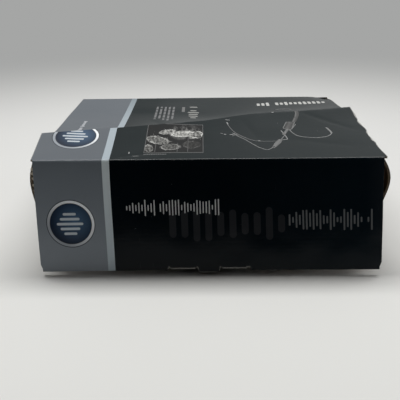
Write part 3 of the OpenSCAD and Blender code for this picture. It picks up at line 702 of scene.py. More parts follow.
def tube(name, path, radius, material, sides):
    """A tube along a path; radius is one number or one for each point."""
    path = [Vector(point) for point in path]
    radii = radius if isinstance(radius, list) else [radius] * len(path)
    vertices = []
    side = None
    for i, point in enumerate(path):
        ahead = (path[min(i + 1, len(path) - 1)] - path[max(i - 1, 0)]).normalized()
        if side is None:
            up = Vector((0, 0, 1)) if abs(ahead.z) < 0.9 else Vector((1, 0, 0))
            side = ahead.cross(up).normalized()
        else:
            side = (side - ahead * side.dot(ahead)).normalized()
        other = ahead.cross(side)
        for k in range(sides):
            angle = 2 * pi * k / sides
            vertices.append((point + radii[i] * (cos(angle) * side + sin(angle) * other)) * MM)
    return new_mesh(name, vertices, ring_faces(len(path), sides), (material,), 50.0)


def lathe(name, origin, axis, profile, material, sides, roughness, frequency):
    """Turns (distance along the axis, radius) stations; roughness is the noise depth."""
    axis = Vector(axis).normalized()
    side = axis.cross(Vector((0, 0, 1))).normalized()
    other = axis.cross(side)
    vertices = []
    for along, radius in profile:
        for k in range(sides):
            angle = 2 * pi * k / sides
            out = cos(angle) * side + sin(angle) * other
            point = Vector(origin) + axis * along + out * radius
            if radius > 0.3:
                point += out * roughness * noise.noise(point * frequency)
            vertices.append(point * MM)
    return new_mesh(name, vertices, ring_faces(len(profile), sides), (material,), 60)


def spline(points, steps):
    """Catmull-Rom curve through the points."""
    points = [Vector(point) for point in points]
    last = len(points) - 1
    path = []
    for i in range(last):
        before, start, end, after = (points[max(i - 1, 0)], points[i], points[i + 1],
                                     points[min(i + 2, last)])
        for k in range(steps):
            t = k / steps
            path.append(0.5 * ((2 * start) + (end - before) * t
                               + (2 * before - 5 * start + 4 * end - after) * t * t
                               + (3 * start - before - 3 * end + after) * t ** 3))
    return path + [points[-1]]


# ---------------------------------------------------------------- the lid's buckled surface
# the crease across the lid: stations in x, its y here, and its y on the CAD lid
CREASE_X = [-126.0, -60.0, 0.0, 25.0, 48.0, 75.0, 126.0]
CREASE_Y = [-61.5, -46.0, -29.6, -16.0, -6.0, -2.4, 10.0]
CREASE_Y_CAD = [-61.5, -46.0, -32.0, -19.5, -6.5, 1.0, 7.0]
LID_FRONT, LID_BACK = -HALF_DEPTH + 0.2, HALF_DEPTH - 0.1
CORNER_X, CORNER_Y = 126, 97.5      # the knocked rear right corner
# short secondary creases: from, to, depth, width
DENTS = (
    ((-66, -93), (-30, -84), 0.35, 1.6), ((-58, -60), (-52, -93), 0.30, 1.8),
    ((30, -24), (38, -60), 0.40, 2.2), ((48, -6), (20, 30), 0.8, 5.0),
    ((75, 2), (118, -40), 0.45, 3.0), ((100, 5), (124, 40), 0.9, 4.0),
    ((-126, -30), (-80, -10), 0.5, 5.0), ((-20, -36), (-48, 10), 0.6, 6.0),
    ((60, -60), (110, -75), 0.2, 3.0))
# rubbed places on the lid's right edge: y, spread, amount
EDGE_RUBS = ((-8, 9, 0.95), (-26, 8, 1.0), (-62, 5, 1.0), (-46, 4, 0.8), (36, 7, 0.7))
# where that edge has been pushed out or in: y, spread, distance
EDGE_KNOCKS = ((-40, 5.0, 0.9), (-22, 4.5, -0.9), (-53, 4.5, -0.7), (-68, 3.0, 0.6),
               (-6, 5.0, 0.5), (30, 8.0, 0.5), (-94, 9.0, 1.0))


def crease_y(x):
    return (float(np.interp(x, CREASE_X, CREASE_Y)) + 0.45 * wobble(x * 0.11, 3.1, 0)
            + 0.25 * wobble(x * 0.5, 9.1, 0))


def dent_place(x, y, start, end):
    """Distance from a dent's line, and how far along it, 0 to 1."""
    dx, dy = end[0] - start[0], end[1] - start[1]
    t = unit(((x - start[0]) * dx + (y - start[1]) * dy) / (dx * dx + dy * dy))
    return hypot(x - start[0] - t * dx, y - start[1] - t * dy), t


def rightness(x):
    return unit((x + HALF_WIDTH) / (2 * HALF_WIDTH))


def lid_height(x, y):
    """Height over the lid's plane: up to the crease, then a sagging fall to the back."""
    k, crease = rightness(x), crease_y(x)
    if y <= crease:
        s = unit((y - LID_FRONT) / (crease - LID_FRONT))
        height = RIDGE * ((1 - 0.45 * k) * s + 0.45 * k * s ** 2.5)
        height += 0.35 * sin(pi * s) * wobble(x * 0.02, y * 0.03, 1.7)
    else:
        t = min(1.0, (y - crease) / (LID_BACK - crease))
        height = RIDGE * exp(-(y - crease) / (15 + 13 * k)) * (1 - t)
        height -= 3.6 * bell(x - 18, 62.0) * sin(pi * min(1.0, t * 1.02)) ** 1.2
        height += 0.9 * sin(pi * t) * wobble(x * 0.018, y * 0.02, 5.7)
    for start, end, depth, width in DENTS:
        distance, t = dent_place(x, y, start, end)
        if distance < 3.5 * width:
            height -= depth * exp(-(distance / width)) * sin(pi * (0.1 + 0.8 * t))
    return height - 2.2 * bell(hypot(x - CORNER_X, y - CORNER_Y), 13.0)


def lid_wear(x, y):
    wear = 0.16 * bell(y - crease_y(x), 0.5)
    edge = LID_HALF_WIDTH - abs(x)
    wear = max(wear, 0.50 * exp(-edge / 0.45))
    if x > 0:
        for centre, spread, amount in EDGE_RUBS:
            wear = max(wear, amount * exp(-edge / 1.1) * bell(y - centre, spread))
    else:
        wear = max(wear, 0.6 * exp(-edge / 0.7) * bell(y + 61, 6.0))
    return max(wear, 0.26 * exp(-abs(y - LID_FRONT) / 0.8), 0.40 * exp(-abs(y - LID_BACK) / 0.7),
               0.55 * bell(hypot(x - CORNER_X, y - CORNER_Y), 5.0))


def lid_normal(x, y):
    e = 0.4
    slope_x = (lid_height(x + e, y) - lid_height(x - e, y)) / (2 * e)
    slope_y = (lid_height(x, y + e) - lid_height(x, y - e)) / (2 * e)
    return (-slope_x, -slope_y, 1.0)


LID_COLUMNS = 168
# rows before the crease, behind it, round the back fold, and down the back
FRONT_ROWS, REAR_ROWS, FOLD_ROWS, BACK_ROWS = 46, 84, 4, 2
FOLD_RADIUS = 1.1
HANDOVER_Y = LID_FRONT + FOLD_RADIUS + 0.3      # where the lid's sheet meets the flap's


def lid_place(i, j):
    x = -LID_HALF_WIDTH + 2 * LID_HALF_WIDTH * i / LID_COLUMNS
    crease = crease_y(x)
    q = j - FRONT_ROWS - REAR_ROWS
    if q <= 0:
        if j <= FRONT_ROWS:
            y = HANDOVER_Y + (crease - HANDOVER_Y) * (j / FRONT_ROWS)
        else:
            t = ((j - FRONT_ROWS) / REAR_ROWS) ** 1.35
            y = crease + (LID_BACK - FOLD_RADIUS - crease) * t
        edge_x = x
        if x > 118:
            edge_x += (x - 118) / 8.0 * sum(push * bell(y - centre, spread)
                                            for centre, spread, push in EDGE_KNOCKS)
        return (edge_x, y, LID_Z + lid_height(x, y)), lid_normal(x, y), (x, y), lid_wear(x, y)
    back_x = x * (HALF_WIDTH / LID_HALF_WIDTH)
    if q <= FOLD_ROWS:
        angle = radians(90 * q / FOLD_ROWS)
        y = LID_BACK - FOLD_RADIUS + FOLD_RADIUS * sin(angle)
        z = LID_Z - FOLD_RADIUS + FOLD_RADIUS * cos(angle)
        z += lid_height(x, LID_BACK - FOLD_RADIUS) * cos(angle)
        return ((x + (back_x - x) * q / FOLD_ROWS, y, z), (0, sin(angle), cos(angle)),
                (x, y), 0.42)
    down = (q - FOLD_ROWS) * 1.1
    return ((back_x, LID_BACK, LID_Z - FOLD_RADIUS - down), (0, 1, 0),
            (x, LID_BACK + FOLD_RADIUS + down), 0.42 * exp(-down / 1.2))


lid = board("lid_sheet", LID_COLUMNS, FRONT_ROWS + REAR_ROWS + FOLD_ROWS + BACK_ROWS, lid_place,
            BOARD - 0.05)
blend_with_lid(lid)
attach(lid, "printed_board", "lid_panel")

# ---------------------------------------------------------------- the front flap
FLAP_LEAN, FLAP_TWIST = 11.6, 1.5           # degrees out of plumb, and its change to each side
FLAP_LENGTH = 82.0
NOTCH = 2.2                                 # depth of the gap cut into the flap's foot
TONGUE_HALF, TONGUE_FOOT_HALF = 8.5, 7.3    # the tongue in the middle of the gap
TAB_WIDTH = 56.0
GAP_HALF = TAB_WIDTH / 2 + 1
FLAP_HALF = HALF_WIDTH - 0.5
# edges of the flap's strips, and the stations across each
STRIP_EDGES = (-FLAP_HALF, -GAP_HALF, -TONGUE_HALF, TONGUE_HALF, GAP_HALF, FLAP_HALF)
FLAP_X = sorted({round(float(x), 3)
                 for low, high, count in zip(STRIP_EDGES, STRIP_EDGES[1:], (44, 14, 12, 14, 44))
                 for x in np.linspace(low, high, count)})
# distances down the flap; None is a row round the fold
FLAP_ROWS = ([-FOLD_RADIUS - 0.3, -FOLD_RADIUS] + [None] * 5
             + np.linspace(1.6, FLAP_LENGTH - NOTCH, 46).tolist()
             + np.linspace(FLAP_LENGTH - 1.6, FLAP_LENGTH, 4).tolist()
             + [FLAP_LENGTH + 0.8, FLAP_LENGTH + 1.6])
NOTCH_ROW = FLAP_ROWS.index(FLAP_LENGTH - NOTCH)
FOOT_ROW = FLAP_ROWS.index(FLAP_LENGTH)


def flap_lean(x):
    return radians(FLAP_LEAN + FLAP_TWIST * x / HALF_WIDTH)


def flap_yz(x, down):
    """y and z on the slightly bowed flap."""
    lean = flap_lean(x)
    bow = 0.9 * sin(pi * unit(down / FLAP_LENGTH))
    bow *= 0.6 + 0.6 * wobble(x * 0.012, down * 0.02, 8.8)
    bow += 0.35 * wobble(x * 0.05, down * 0.05, 2.2) * min(1, down / 12)
    return (-HALF_DEPTH - down * sin(lean) - bow * cos(lean),
            LID_Z - down * cos(lean) + bow * sin(lean))


def narrowed(x, below):
    """x of the foot's strips, which taper with the distance below the notch."""
    if abs(x) > GAP_HALF - 1e-3:
        edge, span = copysign(FLAP_HALF, x), FLAP_HALF - GAP_HALF
        return edge + (x - edge) * ((span - 0.9 * min(below, NOTCH)) / span)
    if abs(x) < TONGUE_HALF + 1e-3:
        taper = (TONGUE_HALF - TONGUE_FOOT_HALF) * below / (NOTCH + 1.6)
        return x * (TONGUE_HALF - taper) / TONGUE_HALF
    return x


def flap_wear(x, station, down):
    wear = max(0.30 * exp(-down / 0.8), 0.34 * exp(-(FLAP_HALF - abs(station)) / 0.5))
    if down > FLAP_LENGTH + 1.2:
        wear = max(wear, 0.62)
    elif down > FLAP_LENGTH - 0.3 and abs(x) > TAB_WIDTH / 2:
        wear = max(wear, 0.40)
    if down > FLAP_LENGTH - 3.0 and abs(abs(x) - TONGUE_HALF) < 0.7:
        wear = max(wear, 0.60)
    if down > FLAP_LENGTH - 2.4 and abs(abs(x) - GAP_HALF) < 1.2:
        wear = max(wear, 0.66)
    return wear


def flap_place(i, j):
    x, down = FLAP_X[i], FLAP_ROWS[j]
    if down is None:
        q = (j - 1) / 6
        angle = q * (pi / 2 - flap_lean(x))
        y = -HALF_DEPTH + FOLD_RADIUS - FOLD_RADIUS * sin(angle)
        z = LID_Z - FOLD_RADIUS + FOLD_RADIUS * cos(angle) + lid_height(x, HANDOVER_Y) * (1 - q)
        return ((x, y, z), (0, -sin(angle), cos(angle)),
                (x, -FOLD + FOLD_RADIUS - 2.2 * FOLD_RADIUS * q), 0.30)
    if down < 0:
        y = HANDOVER_Y if j == 0 else -HALF_DEPTH + FOLD_RADIUS
        return (x, y, LID_Z + lid_height(x, HANDOVER_Y)), (0, 0, 1), (x, y), 0.26
    below = down - (FLAP_LENGTH - NOTCH)
    if below > 0:
        x = narrowed(x, below)
    y, z = flap_yz(x, down)
    drop = smoothstep(0, FLAP_LENGTH, down)
    if x < 0:
        z -= 0.9 * (x / HALF_WIDTH) ** 2 * drop
    sheet_x = x - 0.75 * drop
    spread = 1.4 if x > 0 else 0.35
    x += spread * smoothstep(20, FLAP_LENGTH, down) * min(1.0, abs(x) / 60.0)
    # both lower corners have been knocked in
    knock = 1.25 * smoothstep(FLAP_LENGTH - 4.6, FLAP_LENGTH - 3.2, down)
    x -= copysign(knock * unit((abs(x) - 112.0) / 12.0), x)
    lean = flap_lean(x)
    return ((x, y, z), (0, -cos(lean), sin(lean)), (sheet_x, -FOLD - down),
            flap_wear(x, FLAP_X[i], down))


def flap_keep(i, j):
    x = abs(0.5 * (FLAP_X[i] + FLAP_X[i + 1]))
    if j >= FOOT_ROW:
        return x < TONGUE_HALF
    return j < NOTCH_ROW or x < TONGUE_HALF or x > GAP_HALF


flap = board("front_flap_sheet", len(FLAP_X) - 1, len(FLAP_ROWS) - 1, flap_place, BOARD - 0.05,
             keep=flap_keep, flip=True)
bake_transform(flap)
attach(flap, "printed_board", "front_flap")

# the tuck tab, folded in at the flap's foot
TAB_COLUMNS, TAB_ROWS = 40, 14
TAB_FOLD_RADIUS, TAB_DEPTH = 1.5, 11.0
TAB_FOLD_WEAR = (0.30, 0.50, 0.62, 0.40, 0.25)


def tab_x(i):
    return -TAB_WIDTH / 2 + TAB_WIDTH * i / TAB_COLUMNS


def tab_place(i, j):
    x = tab_x(i)
    lean = radians(FLAP_LEAN)
    down = FLAP_LENGTH - NOTCH
    if j <= 4:
        angle = radians(90 * j / 4)
        down += TAB_FOLD_RADIUS * sin(angle)
        inward = TAB_FOLD_RADIUS - TAB_FOLD_RADIUS * cos(angle)
        out, below = cos(angle), sin(angle)
    else:
        depth = (j - 4) / (TAB_ROWS - 4) * TAB_DEPTH
        down += TAB_FOLD_RADIUS
        inward = TAB_FOLD_RADIUS + depth
        out, below = 0.0, 1.0
        x = x * (1 - 4.0 / (TAB_WIDTH / 2) * (depth / TAB_DEPTH))
    y = -HALF_DEPTH - down * sin(lean) + inward * cos(lean)
    z = LID_Z - down * cos(lean) - inward * sin(lean)
    normal = (0, -out * cos(lean) - below * sin(lean), out * sin(lean) - below * cos(lean))
    return ((x, y, z), normal, (x, -FOLD - down - inward), TAB_FOLD_WEAR[j] if j <= 4 else 0.2)


def tab_keep(i, j):
    return abs(tab_x(i + 0.5)) >= TONGUE_HALF + 0.7 or j >= 8


tab = board("tuck_tab_sheet", TAB_COLUMNS, TAB_ROWS, tab_place, BOARD - 0.1, keep=tab_keep,
            flip=True)
attach(tab, "printed_board", "tuck_tab", body="tab")


# ---------------------------------------------------------------- back and bottom of the wrap
def back_place(i, j):
    top, foot = LID_Z - FOLD_RADIUS - 3.2, 0.6
    x = -HALF_WIDTH + 2 * HALF_WIDTH * i / 80
    z = top - (top - foot) * j / 40
    bow = 0.9 * sin(pi * j / 40) * sin(pi * i / 80) * (0.7 + wobble(x * 0.02, z * 0.04, 4.4))
    wear = max(0.38 * exp(-(HALF_WIDTH - abs(x)) / 0.6), 0.5 * exp(-(z - foot) / 1.0))
    return (x, LID_BACK + min(0.0, -0.4 * bow), z), (0, 1, 0), (x, FOLD + LID_Z - z), wear


def bottom_place(i, j):
    (x0, y0, _), (x1, y1, _) = WRAP_LOW, WRAP_HIGH
    x = x0 + (x1 - x0) * i / 60
    y = y0 + (y1 - y0) * j / 50
    edge = min(x - x0, x1 - x, y - y0, y1 - y)
    return ((x, y, 0.02 + 0.35 * exp(-edge / 1.2)), (0, 0, -1), (x, 400.0 - y),
            0.5 * exp(-edge / 1.0))


back = board("wrap_back_sheet", 80, 40, back_place, BOARD - 0.15)
attach(back, "printed_board", "wrap_back_panel", body="carton")
bottom = board("wrap_bottom_sheet", 60, 50, bottom_place, BOARD - 0.4, flip=True)
attach(bottom, "printed_board", "wrap_bottom_panel", body="carton")


# ---------------------------------------------------------------- kraft end walls
def end_wall(side, sign, swell):
    """An end wall, bowed outward near its top."""
    node = "tray_end_wall_" + side
    (x0, y0, z0), (x1, y1, z1) = box_mm(node)
    depth = (x1 - x0 - BOARD) * swell

    def bow(z):
        return 0.0 if z < 34 else depth * sin(pi * min(1.0, (z - 34) / 49.0) ** 1.6)

    def place(i, j):
        t = i / 60
        y = y0 + (y1 - y0) * t
        z = z0 + (z1 - z0) * j / 40
        k = 1.0 - 0.35 * smoothstep(0.0, 0.35, t) + 0.1 * sin(6 * t)
        ripple = 0.28 * wobble(y * 0.04, z * 0.05, sign * 3.3) * smoothstep(0, 8, z - z0)
        e = 0.5
        slope = (bow(z + e) - bow(z - e)) / (2 * e) * k
        x = HALF_WIDTH + bow(z) * k + ripple
        return (sign * x, y, z), (sign, 0, -slope), (y, z), 0.0

    wall = board(node + "_board", 60, 40, place, BOARD, outer="kraft_outer", flip=sign < 0)
    attach(wall, "kraft_board", node, body="carton")


end_wall("left", -1, swell=1.12)
end_wall("right", 1, swell=1.32)

# ---------------------------------------------------------------- torn fibres, flap's left edge
# x, z, width, length, tilt in radians, curl
SHARDS = ((-124.3, 78.2, 3.4, 3.2, 0.4, 0.9), (-124.4, 75.2, 2.6, 4.0, 0.2, 1.2),
          (-124.3, 71.6, 3.6, 2.6, 0.7, 0.5), (-124.3, 67.0, 3.0, 2.2, 0.3, 0.4),
          (-124.4, 63.2, 2.4, 1.8, 0.9, 0.3))


def shard(number, start, x, z, width, length, tilt, curl):
    """Vertices and faces of one tapering scrap of paper."""
    columns, rows, thickness = 5, 4, 0.22
    y = flap_yz(-FLAP_HALF, (LID_Z - z) / cos(flap_lean(-HALF_WIDTH)))[0] + 0.35
    vertices = []
    for side in (0, 1):
        for i in range(columns + 1):
            for j in range(rows + 1):
                t = j / rows
                taper = width * (1 - 0.72 * t)
                taper *= 1 + 0.25 * wobble(number * 3.1, i * 0.7, j * 0.9)
                lift = thickness * side + 0.2 * wobble(i * 0.9, j * 0.8, number * 1.7)
                vertices.append(Vector((x - t * length * cos(tilt) * 0.5,
                                        y - t * t * curl + lift,
                                        z + (i / columns - 0.5) * taper + t * length * 0.25)) * MM)
    step = rows + 1
    back = (columns + 1) * step
    faces = slab_faces(columns, rows, start, back)
    for a in range(start, start + columns * step, step):
        b, c, d = a + step, a + rows, a + step + rows
        faces += [(a, a + back, b + back, b), (c, d, d + back, c + back)]
    for a in range(start, start + rows):
        b = a + columns * step
        faces += [(a, a + 1, a + 1 + back, a + back), (b, b + back, b + 1 + back, b + 1)]
    return vertices, faces


vertices, faces = [], []
for k, row in enumerate(SHARDS):
    more_vertices, more_faces = shard(k, len(vertices), *row)
    vertices += more_vertices
    faces += more_faces
torn = new_mesh("torn_corner_fibres", vertices, faces, ("torn_paper",), 60)
attach(torn, "kraft_board", body="flap")

# ---------------------------------------------------------------- headset drawing on the lid
# Thin ink strokes that follow the board: name, width, tone, (x, y) points on the CAD lid.
STROKES = (
    ("boom", 0.75, 0.20, ((65.8,-36.4), (66.5,-42.6), (69,-50.4), (71.8,-53.6), (75.6,-55.5),
                          (82.8,-56.6), (87.6,-56.1), (92.1,-54.3), (95.6,-51.2), (98.1,-46.6))),
    ("tip", 1.5, 0.20, ((98.1,-46.6), (98,-41.9), (97.2,-37.2), (96.4,-33.2))),
    ("tube_up", 3.4, 0.055, ((79.6,18), (78,8), (76.4,0.1), (77.4,-2.3), (76.6,-6.9),
                             (74.5,-13.7), (72,-21))),
    ("tube_glint", 0.6, 0.16, ((78.6,18), (77,8), (75.8,1), (76.3,-3), (75.4,-8),
                               (73.4,-14.5), (71.2,-21))),
    ("tube_arc", 1.6, 0.10, ((64.5,37.5), (68.5,40), (72.6,40.4), (76.5,39.5), (79.0,36.4))),
    ("clamp", 0.8, 0.15, ((61.2,-35.4), (65.8,-21.5), (72.6,-21.2), (68.1,-37), (65.2,-40.3),
                          (61.2,-35.4))),
    ("clamp_body", 5.4, 0.055, ((64.6,-37.0), (69.2,-22.0))),
    ("clamp_line", 0.5, 0.22, ((67.8,-38.0), (72.8,-26.0))),
    ("tube_down", 2.4, 0.12, ((65.3,-36.9), (62.3,-43.8), (59.4,-50.6))),
    ("hook", 0.7, 0.26, ((58.7,-41), (60.1,-48.4), (61.3,-59.9), (57.7,-61))),
    ("hook2", 0.6, 0.20, ((56.6,-60.4), (60.6,-50.6), (62.5,-42.7))),
    ("pad", 0.6, 0.16, ((47.9,-77), (50.6,-68.7), (54.6,-61), (57.3,-59.9), (55.4,-66.6),
                        (51.9,-73.3), (48.7,-78.2), (47.9,-77))),
    ("pad_body", 3.0, 0.13, ((49.8,-75.0), (52.9,-67.8), (55.9,-61.4))),
    ("wire_out", 0.65, 0.20, ((47.9,-77.4), (43.9,-81.1), (39.3,-78.3), (35.2,-72.6),
                              (31.9,-67.3), (28.6,-61.5), (23.8,-55.5), (19.7,-49.1))),
    ("wire_in", 0.6, 0.13, ((60.8,-60.1), (55,-63.5), (47.3,-64.7), (40.6,-64.7), (33.8,-62.4),
                            (28.8,-57.8), (24.7,-52.6), (20.7,-45.3), (17.9,-37.1),
                            (16.2,-30.4))),
    ("wire_top", 0.9, 0.34, ((16.2,-29.4), (17.0,-32.6))),
    ("cluster_a", 1.3, 0.20, ((13.0,-52.2), (14.6,-52.8))),
    ("cluster_b", 0.8, 0.14, ((10.4,-50.2), (12.2,-51.4))),
    ("cluster_c", 1.0, 0.22, ((17.6,-53.0), (19.0,-52.4), (20.4,-53.4))),
    ("cluster_d", 0.6, 0.14, ((20.5,-49.0), (24.6,-54.6))),
    ("cluster_e", 0.6, 0.12, ((19.4,-55.4), (23.6,-50.6))),
    ("dot", 1.6, 0.26, ((38.6,-64.3), (39.3,-64.0), (40.0,-63.8))),
    ("smallbar", 0.7, 0.26, ((15.1,-26.1), (18.8,-25.7))),
    ("far_piece", 0.8, 0.16, ((20.5,12.0), (24.0,17.0), (28.6,17.6))),
    ("far_dot", 1.2, 0.24, ((55.6,22.0), (56.8,22.2))),
)
STRAIGHT_STROKES = ("clamp", "pad")
INK_GAIN = 1.4


def cad_lid_height(x, y):
    """Height of the CAD lid, on which the drawing was laid out."""
    k, crease = rightness(x), float(np.interp(x, CREASE_X, CREASE_Y_CAD))
    if y <= crease:
        s = (y - LID_FRONT) / (crease - LID_FRONT)
        return RIDGE * ((1 - 0.45 * k) * s + 0.45 * k * s ** 10)
    fall = 1 - min(1.0, (y - crease) / (LID_BACK - crease))
    return RIDGE * exp(-(y - crease) / (15 + 13 * k)) * fall


def reproject(x, y):
    """Slides a point along the line of sight from the CAD lid to the buckled lid."""
    point = Vector((x, y, LID_Z + cad_lid_height(x, y)))
    sight = (point - Vector(EYE)).normalized()
    for _ in range(12):
        gap = LID_Z + lid_height(point.x, point.y) - point.z
        point = point + sight * (gap / (sight.z - 0.12 * sight.y))
    return (point.x, point.y, 0) if abs(point.y - y) < 14 else (x, y, 0)


def stroke_path(name, points):
    points = [Vector(reproject(*point)) for point in points]
    if len(points) > 2 and name not in STRAIGHT_STROKES:
        return spline(points, 6)
    path = [start.lerp(end, k / 6) for start, end in zip(points, points[1:]) for k in range(6)]
    return path + [points[-1]]


def drawing():
    low, high = 0.02, 0.07      # underside and top of the ink over the board
    vertices, faces, tones = [], [], []
    for name, width, tone, points in STROKES:
        path = stroke_path(name, points)
        first, last = len(vertices), len(path) - 1
        for i, point in enumerate(path):
            ahead = (path[min(i + 1, last)] - path[max(i - 1, 0)]).normalized()
            side = Vector((-ahead.y, ahead.x, 0)) * width / 2
            for edge, lift in ((point + side, low), (point + side, high),
                               (point - side, high), (point - side, low)):
                z = LID_Z + lid_height(edge.x, edge.y) + lift
                vertices.append(Vector((edge.x, edge.y, z)) * MM)
                tones.append(tone * INK_GAIN)
        for a in range(first, first + last * 4, 4):
            for k in range(4):
                b = (k + 1) % 4
                faces.append((a + k, a + b, a + 4 + b, a + 4 + k))
        end = first + last * 4
        faces += [(first + 3, first + 2, first + 1, first), (end, end + 1, end + 2, end + 3)]
    return new_mesh("lid_headset_drawing", vertices, faces, ("printed_ink",), 0,
                    attributes={"ink": tones})


art = drawing()
work = bmesh.new()
work.from_mesh(art.data)
bmesh.ops.recalc_face_normals(work, faces=work.faces)
work.to_mesh(art.data)
work.free()
blend_with_lid(art)
attach(art, "printed_board")


# ---------------------------------------------------------------- foam insert
def foam_block():
    """The CAD block remeshed, softened and roughened."""
    source = add_object("foam_tmp", frame["nodes"]["foam_insert"].data.copy())
    weld = source.modifiers.new("weld", "WELD")
    weld.merge_threshold = 0.00001
    remesh = source.modifiers.new("vox", "REMESH")
    remesh.mode = "VOXEL"
    remesh.voxel_size = 0.00115
    remesh.use_smooth_shade = True
    smooth = source.modifiers.new("sm", "SMOOTH")
    smooth.factor = 0.5
    smooth.iterations = 3
    graph = bpy.context.evaluated_depsgraph_get()
    graph.update()
    mesh = bpy.data.meshes.new_from_object(source.evaluated_get(graph), depsgraph=graph)
    bpy.data.objects.remove(source)
    mesh.name = "foam_cutouts"
    points = np.zeros(len(mesh.vertices) * 3, np.float32)
    normals = np.zeros_like(points)
    mesh.vertices.foreach_get("co", points)
    mesh.vertex_normals.foreach_get("vector", normals)
    points, normals = points.reshape(-1, 3), normals.reshape(-1, 3)
    # fine grain and a slow swell, less a little overall
    offset = np.array([0.16 * wobble(x * 700, y * 700, z * 700)
                       + 0.30 * wobble(x * 35, y * 35, 2.0) - 0.18
                       for x, y, z in points.tolist()]) * MM
    points = points + normals * offset[:, None]
    points[:, 2] = np.maximum(points[:, 2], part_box("foam_insert")[0].z + 0.00002)
    mesh.vertices.foreach_set("co", points.astype(np.float32).ravel())
    mesh.update()
    mesh.materials.clear()
    mesh.materials.append(MATERIALS["insert_foam"])
    mesh.shade_smooth()
    return add_object("foam_cutouts", mesh)


attach(foam_block(), "insert_foam", "foam_insert", body="carton")


# ---------------------------------------------------------------- leaflet
def leaflet():
    """Three leaves that part and curl a little away from the front edge."""
    (x0, y0, z0), (x1, y1, _) = box_mm("instruction_leaflet")
    columns, rows = 48, 28
    step = rows + 1
    back = (columns + 1) * step
    vertices, faces, sheet, sides = [], [], [], []
    for leaf in range(3):
        first = len(vertices)
        for side in (0, 1):
            for i in range(columns + 1):
                for j in range(rows + 1):
                    t = j / rows
                    x = x0 + (x1 - x0) * i / columns
                    y = y0 + 0.6 + (y1 - y0 - 0.6 - 0.25 * leaf) * t
                    z = z0 + 0.12 + leaf * 0.34 * (0.35 + 0.65 * min(1, t * 6))
                    z += (0.25 + 0.55 * leaf) * t ** 3 * (0.5 + 0.5 * (i / columns))
                    z += 0.16 * wobble(x * 0.03, y * 0.05, leaf * 2.0) * min(1, 5 * t)
                    vertices.append(Vector((x, y, z + 0.14 * (1 - side))) * MM)
                    sheet.append((x - x0, y - y0, 0))
                    sides.append(side)
        faces += slab_faces(columns, rows, first, back)
        loop = ([i * step for i in range(columns + 1)]
                + [columns * step + j for j in range(1, rows + 1)]
                + [i * step + rows for i in range(columns - 1, -1, -1)]
                + list(range(rows - 1, 0, -1)))
        for a, b in zip(loop, loop[1:] + loop[:1]):
            a, b = a + first, b + first
            faces.append((b, a, a + back, b + back))
    return new_mesh("leaflet_pages", vertices, faces, ("leaflet_paper",), 45, attributes={
        "sheet": sheet, "wear": [0.0] * len(vertices), "rimt": sides})


attach(leaflet(), "leaflet_paper", "instruction_leaflet", body="carton")

# ---------------------------------------------------------------- cable
CABLE_RADIUS = 0.93
LEAD_X = -70.4
BAND_Z = 14.9
HOOK_Y = -11.0


def lead_point(y):
    swing = sin(radians(90 * y / 40))
    return (LEAD_X - 0.9 * swing, y, BAND_Z + 0.4 + 1.4 * swing)


def cable(name, path, steps):
    return tube(name, spline(path, steps), CABLE_RADIUS, "cable_jacket", 14)


def coil_path():
    """In from the left, three turns down, then across to the connector."""
    radius, centre_x, centre_y = 31.0, 0.0, 18.0
    steps = 22
    path = [(-46, 43, 16.6), (-40, 42.7, 16.7), (-34, 42, 16.8)]
    for k in range(3 * steps + 1):
        angle = radians(140 + 360 * k / steps)
        r = radius + 2.4 * sin(2 * angle) * (k % steps) / steps
        path.append((centre_x + r * cos(angle), centre_y + r * sin(angle),
                     17.6 - 2.3 * k / steps))
    for turn in range(150, 241, 15):
        angle = radians(turn)
        r = radius - 2.6 * sin(radians(180 * (turn - 140) / 130))
        path.append((centre_x + r * cos(angle), centre_y + r * sin(angle),
                     10.7 + (turn - 140) * 0.012))
    return path + [(-11, -16, 13.4), (-9, -23, 15.6), (-9, -27.5, 17.2), (-9, -33, 17.2)]


lead = cable("cable_lead_smooth", [(LEAD_X, HOOK_Y + 7.4, BAND_Z + 0.4)]
             + [lead_point(y) for y in range(0, 33, 8)], 6)
attach(lead, "cable_jacket", "cable_lead", body="band_left")
# the free stretch of cable between the band and the coil
slack = cable("cable_slack", [lead_point(30), lead_point(35), (-71.0, 40.0, 16.7),
                              (-68.6, 43.0, 16.9), (-64.0, 43.3, 16.9), (-60, 43.1, 16.8),
                              (-53, 43, 16.7), (-46, 43, 16.6), (-42, 42.8, 16.65)], 8)
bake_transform(slack)
attach(slack, "cable_jacket")
attach(cable("cable_coil_smooth", coil_path(), 5), "cable_jacket", "cable_coil", body="carton")
# twist tie round the coil
tie = []
for k in range(25):
    angle = 2 * pi * k / 24
    tie.append((31.0 + 3.4 * cos(angle), 18.0 + 0.25 * sin(angle * 2), 14.4 + 4.0 * sin(angle)))
tie += [(34.6, 18.4, 15.6), (33.4, 19.6, 18.6), (31.0, 21.5, 19.6), (28.4, 24.0, 19.8)]
attach(tube("cable_tie", spline(tie, 4), 0.42, "moulded_black", 8), "moulded_black",
       body="carton")

# ---------------------------------------------------------------- lathe-turned soft pieces
NECK_RADIUS, NECK_ANGLE = 28.0, radians(75)     # the gooseneck's bend
NECK_RUN, NECK_TIP = 6.0, 3.6                   # its straight parts before and after the bend
NECK_X, NECK_Y, NECK_Z = -82.6, -40.0, BAND_Z + 1.2
NECK_AHEAD = Vector((cos(NECK_ANGLE - pi / 2), sin(NECK_ANGLE - pi / 2), 0))


def neck_point(angle):
    """A point on the gooseneck's bend."""
    return Vector((NECK_X + NECK_RADIUS - NECK_RADIUS * cos(angle),
                   NECK_Y - NECK_RUN - NECK_RADIUS * sin(angle), NECK_Z))


def stations(start, end, step):
    """Distances from start to before end, summed step by step."""
    while start < end:
        yield start
        start += step


def ring(t, centre, width):
    """A flat-topped ridge, 1 at its centre."""
    return exp(-((t - centre) / width) ** 4)


